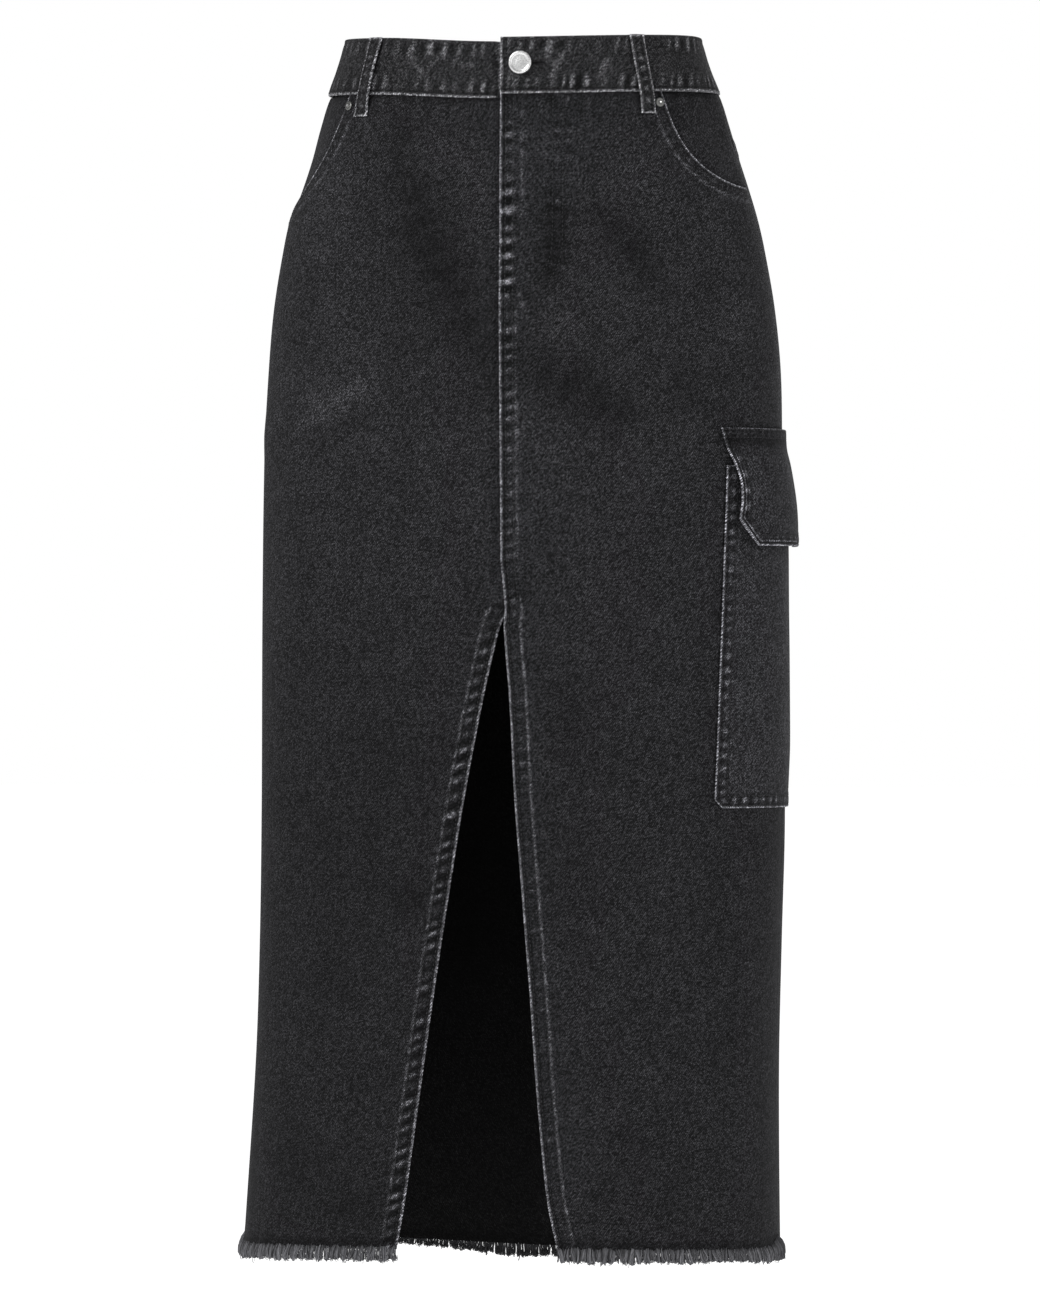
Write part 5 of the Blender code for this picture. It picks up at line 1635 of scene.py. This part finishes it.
def finish_turned(parts, name, turn, drop, bevel, look):
    """Joins turned parts, rounds their edges and sets them on the cloth, facing out."""
    bpy.ops.object.select_all(action="DESELECT")
    for part in parts:
        part.select_set(True)
    piece = parts[0]
    bpy.context.view_layer.objects.active = piece
    if len(parts) > 1:
        bpy.ops.object.join()
    piece.name = piece.data.name = name
    edges = piece.modifiers.new("rounded edges", "BEVEL")
    edges.width = bevel
    edges.segments = 3
    edges.limit_method = "ANGLE"
    edges.angle_limit = math.radians(25)
    bpy.ops.object.modifier_apply(modifier=edges.name)
    piece.data.transform(standing(turn, drop, 0.0))
    bpy.ops.object.shade_smooth_by_angle(angle=math.radians(35))
    piece.data.materials.clear()
    piece.data.materials.append(look)
    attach(piece, "root")
    piece.select_set(False)
    return piece


cap = disc(BUTTON_RADIUS, CAP_FOOT, CAP_FOOT + CAP_THICKNESS)
inset_steps(CAP_STEPS)
inside = BAND_PROUD - 2 * BAND_WALL - UNDERLAP_GAP - LAYER_GAP
shank = disc(SHANK_RADIUS, inside - 0.0002, CAP_FOOT + 0.0004, 24)
bpy.ops.object.mode_set(mode="OBJECT")
tack = disc(TACK_RADIUS, inside - TACK_THICKNESS, inside, 32)
bpy.ops.object.mode_set(mode="OBJECT")
button_turn = float(turn_at(BUTTON_ACROSS, np.array(BUTTON_DROP)))
button = finish_turned([cap, shank, tack], "nickel_button", button_turn, BUTTON_DROP, 0.00035, NICKEL)
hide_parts("waist_button")

for name, turn in RIVET_TURNS.items():
    rivet = disc(RIVET_RADIUS, LAYER_GAP, LAYER_GAP + RIVET_THICKNESS, 32)
    inset_steps(RIVET_STEPS)
    piece = finish_turned([rivet], f"nickel_{name}", turn, RIVET_DROP, 0.00018, DULL_NICKEL)
    piece.data.materials.append(NICKEL)
    middle = Vector(cloth(np.array(turn), np.array(RIVET_DROP), np.array(NIPPLE_OUT)))
    for face in piece.data.polygons:
        if (face.center - middle).length < NIPPLE_REACH:
            face.material_index = 1
    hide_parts(name)

# ==========================================================================================================
# Fly zip and shield
# Behind the fly a closed metal zip on black tape, and behind the zip a shield of the same denim. The fly
# covers both.

ZIP_WIDTH = 0.028
ZIP_START = 0.001  # distances of the two pieces' right edges from the centre front
SHIELD_START = -0.008
ZIP_WALL = 0.0010
ZIP_TOP = BAND_HEIGHT + 0.0044
SHIELD_WIDTH = 0.048
TOOTH_PITCH = 0.0022  # from a tooth to the next on the same side
TOOTH_SIZE = (0.0034, 0.0011, 0.0009)
TOOTH_BEVEL = 0.0002
TOOTH_STAGGER = 0.0008


def behind_fly(name, start, width, depth, looks, wall):
    """A flat strip behind the fly, at a depth under the panels."""
    near = np.append(ROLL / (WALL / wall), 0.0014)
    drops = np.linspace(ZIP_TOP, FLY_END, 60)
    first, second = (np.stack([start + offset + 0 * drops, drops], -1) for offset in (0, width))
    place, drop, edge = lines_across(first, second, near, 0.0035, near)
    wear_and_shade = 0.15 * wash(place * 2, drop * 2) + 0.5 * hump(edge, 0.0003, 0.002)
    return cloth_wall(name, turn_at(place, drop), drop, 0 * place - depth, edge, wear_and_shade, looks, wall=wall)


ZIP_TAPE = denim("woven zip tape", (0.0085, 0.0085, 0.0090))
tape = behind_fly("zip_tape", ZIP_START, ZIP_WIDTH, 2 * UNDER, [ZIP_TAPE], ZIP_WALL)
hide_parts("fly_zip")
shield = behind_fly("fly_shield_denim", SHIELD_START, SHIELD_WIDTH, 3 * UNDER, [DENIM], WALL)
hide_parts("fly_shield")

bpy.ops.object.select_all(action="DESELECT")
bpy.ops.mesh.primitive_cube_add(size=1)
tooth = bpy.context.object
tooth.data.transform(Matrix.Diagonal((*TOOTH_SIZE, 1)))
bpy.ops.object.mode_set(mode="EDIT")
bpy.ops.mesh.select_all(action="SELECT")
bpy.ops.mesh.bevel(offset=TOOTH_BEVEL, segments=1)
bpy.ops.object.mode_set(mode="OBJECT")
teeth = []
for i, drop in enumerate(np.arange(BAND_HEIGHT + 0.0060, FLY_END - 0.002, TOOTH_PITCH / 2)):
    place = ZIP_START + ZIP_WIDTH / 2 + (TOOTH_STAGGER if i % 2 else -TOOTH_STAGGER)
    turn = turn_at(np.array(place), np.array(drop))
    one = bpy.data.objects.new(f"tooth_{i}", tooth.data.copy())
    bpy.context.scene.collection.objects.link(one)
    one.data.transform(standing(turn, drop, -2 * UNDER + 0.0003))
    teeth.append(one)
bpy.data.objects.remove(tooth, do_unlink=True)
for one in teeth:
    one.select_set(True)
bpy.context.view_layer.objects.active = teeth[0]
bpy.ops.object.join()
teeth[0].name = teeth[0].data.name = "zip_teeth"
teeth[0].data.materials.append(NICKEL)
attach(teeth[0], "root")
teeth[0].select_set(False)

# ==========================================================================================================
# The studio
# A white sweep under a soft dome, with a large light above the camera's left, a weaker one to its right and
# one behind. The camera stands 7 m away at the height of the middle of the skirt, 11 degrees round towards
# the wearer's left.

CAMERA_LENS = 266.3  # millimetres
CAMERA_TURN = math.radians(11)
CAMERA_AWAY = 7.0
CAMERA_DROP = 0.4409
CAMERA_ASIDE = 0.0029  # the skirt's axis stands this far right of the middle of the picture
FLOOR_BELOW = 0.25

bpy.ops.object.camera_add(rotation=(math.radians(90), 0, CAMERA_TURN))
camera = bpy.context.object
across = Vector((math.cos(CAMERA_TURN), math.sin(CAMERA_TURN), 0))
away = Vector((math.sin(CAMERA_TURN), -math.cos(CAMERA_TURN), 0))
camera.location = away * CAMERA_AWAY - across * CAMERA_ASIDE + Vector((0, 0, ZENITH - CAMERA_DROP))
camera.data.lens = CAMERA_LENS
camera.data.clip_end = 100
bpy.context.scene.camera = camera

bpy.ops.mesh.primitive_plane_add(size=80, location=(0, 0, ZENITH - LENGTH - FLOOR_BELOW))
floor = bpy.context.object
floor.name = "studio_floor"
white = bpy.data.materials.new("white sweep")
white.use_nodes = True
paint = white.node_tree.nodes["Principled BSDF"]
paint.inputs["Base Color"].default_value = (0.8, 0.8, 0.8, 1)
paint.inputs["Roughness"].default_value = 0.9
paint.inputs["Emission Color"].default_value = (1, 1, 1, 1)
paint.inputs["Emission Strength"].default_value = 0.65
floor.data.materials.append(white)

world = bpy.data.worlds.new("white dome")
bpy.context.scene.world = world
world.use_nodes = True
dome = world.node_tree.nodes["Background"]
dome.inputs["Color"].default_value = (1, 1, 1, 1)
seen = world.node_tree.nodes.new("ShaderNodeLightPath")
to_camera = seen.outputs["Is Camera Ray"]
strength = add_node(world.node_tree, "ShaderNodeMath", to_camera, 0.5, 0.5, operation="MULTIPLY_ADD")
world.node_tree.links.new(strength, dome.inputs["Strength"])


def soft_light(name, azimuth, height, distance, size, power):
    """A square light that faces the middle of the skirt."""
    bpy.ops.object.light_add(type="AREA")
    light = bpy.context.object
    light.name = name
    light.data.size = size
    light.data.energy = power
    turned = math.radians(azimuth)
    light.location = (math.sin(turned) * distance, -math.cos(turned) * distance, height)
    aim = Vector((0, 0, -0.4)) - light.location
    light.rotation_euler = aim.to_track_quat("-Z", "Y").to_euler()


soft_light("key_light", azimuth=-28, height=1.6, distance=3.0, size=1.4, power=62)
soft_light("fill_light", azimuth=60, height=0.4, distance=3.2, size=1.6, power=16)
soft_light("back_light", azimuth=180, height=1.2, distance=3.2, size=1.8, power=40)
bpy.context.scene.view_settings.view_transform = "Standard"
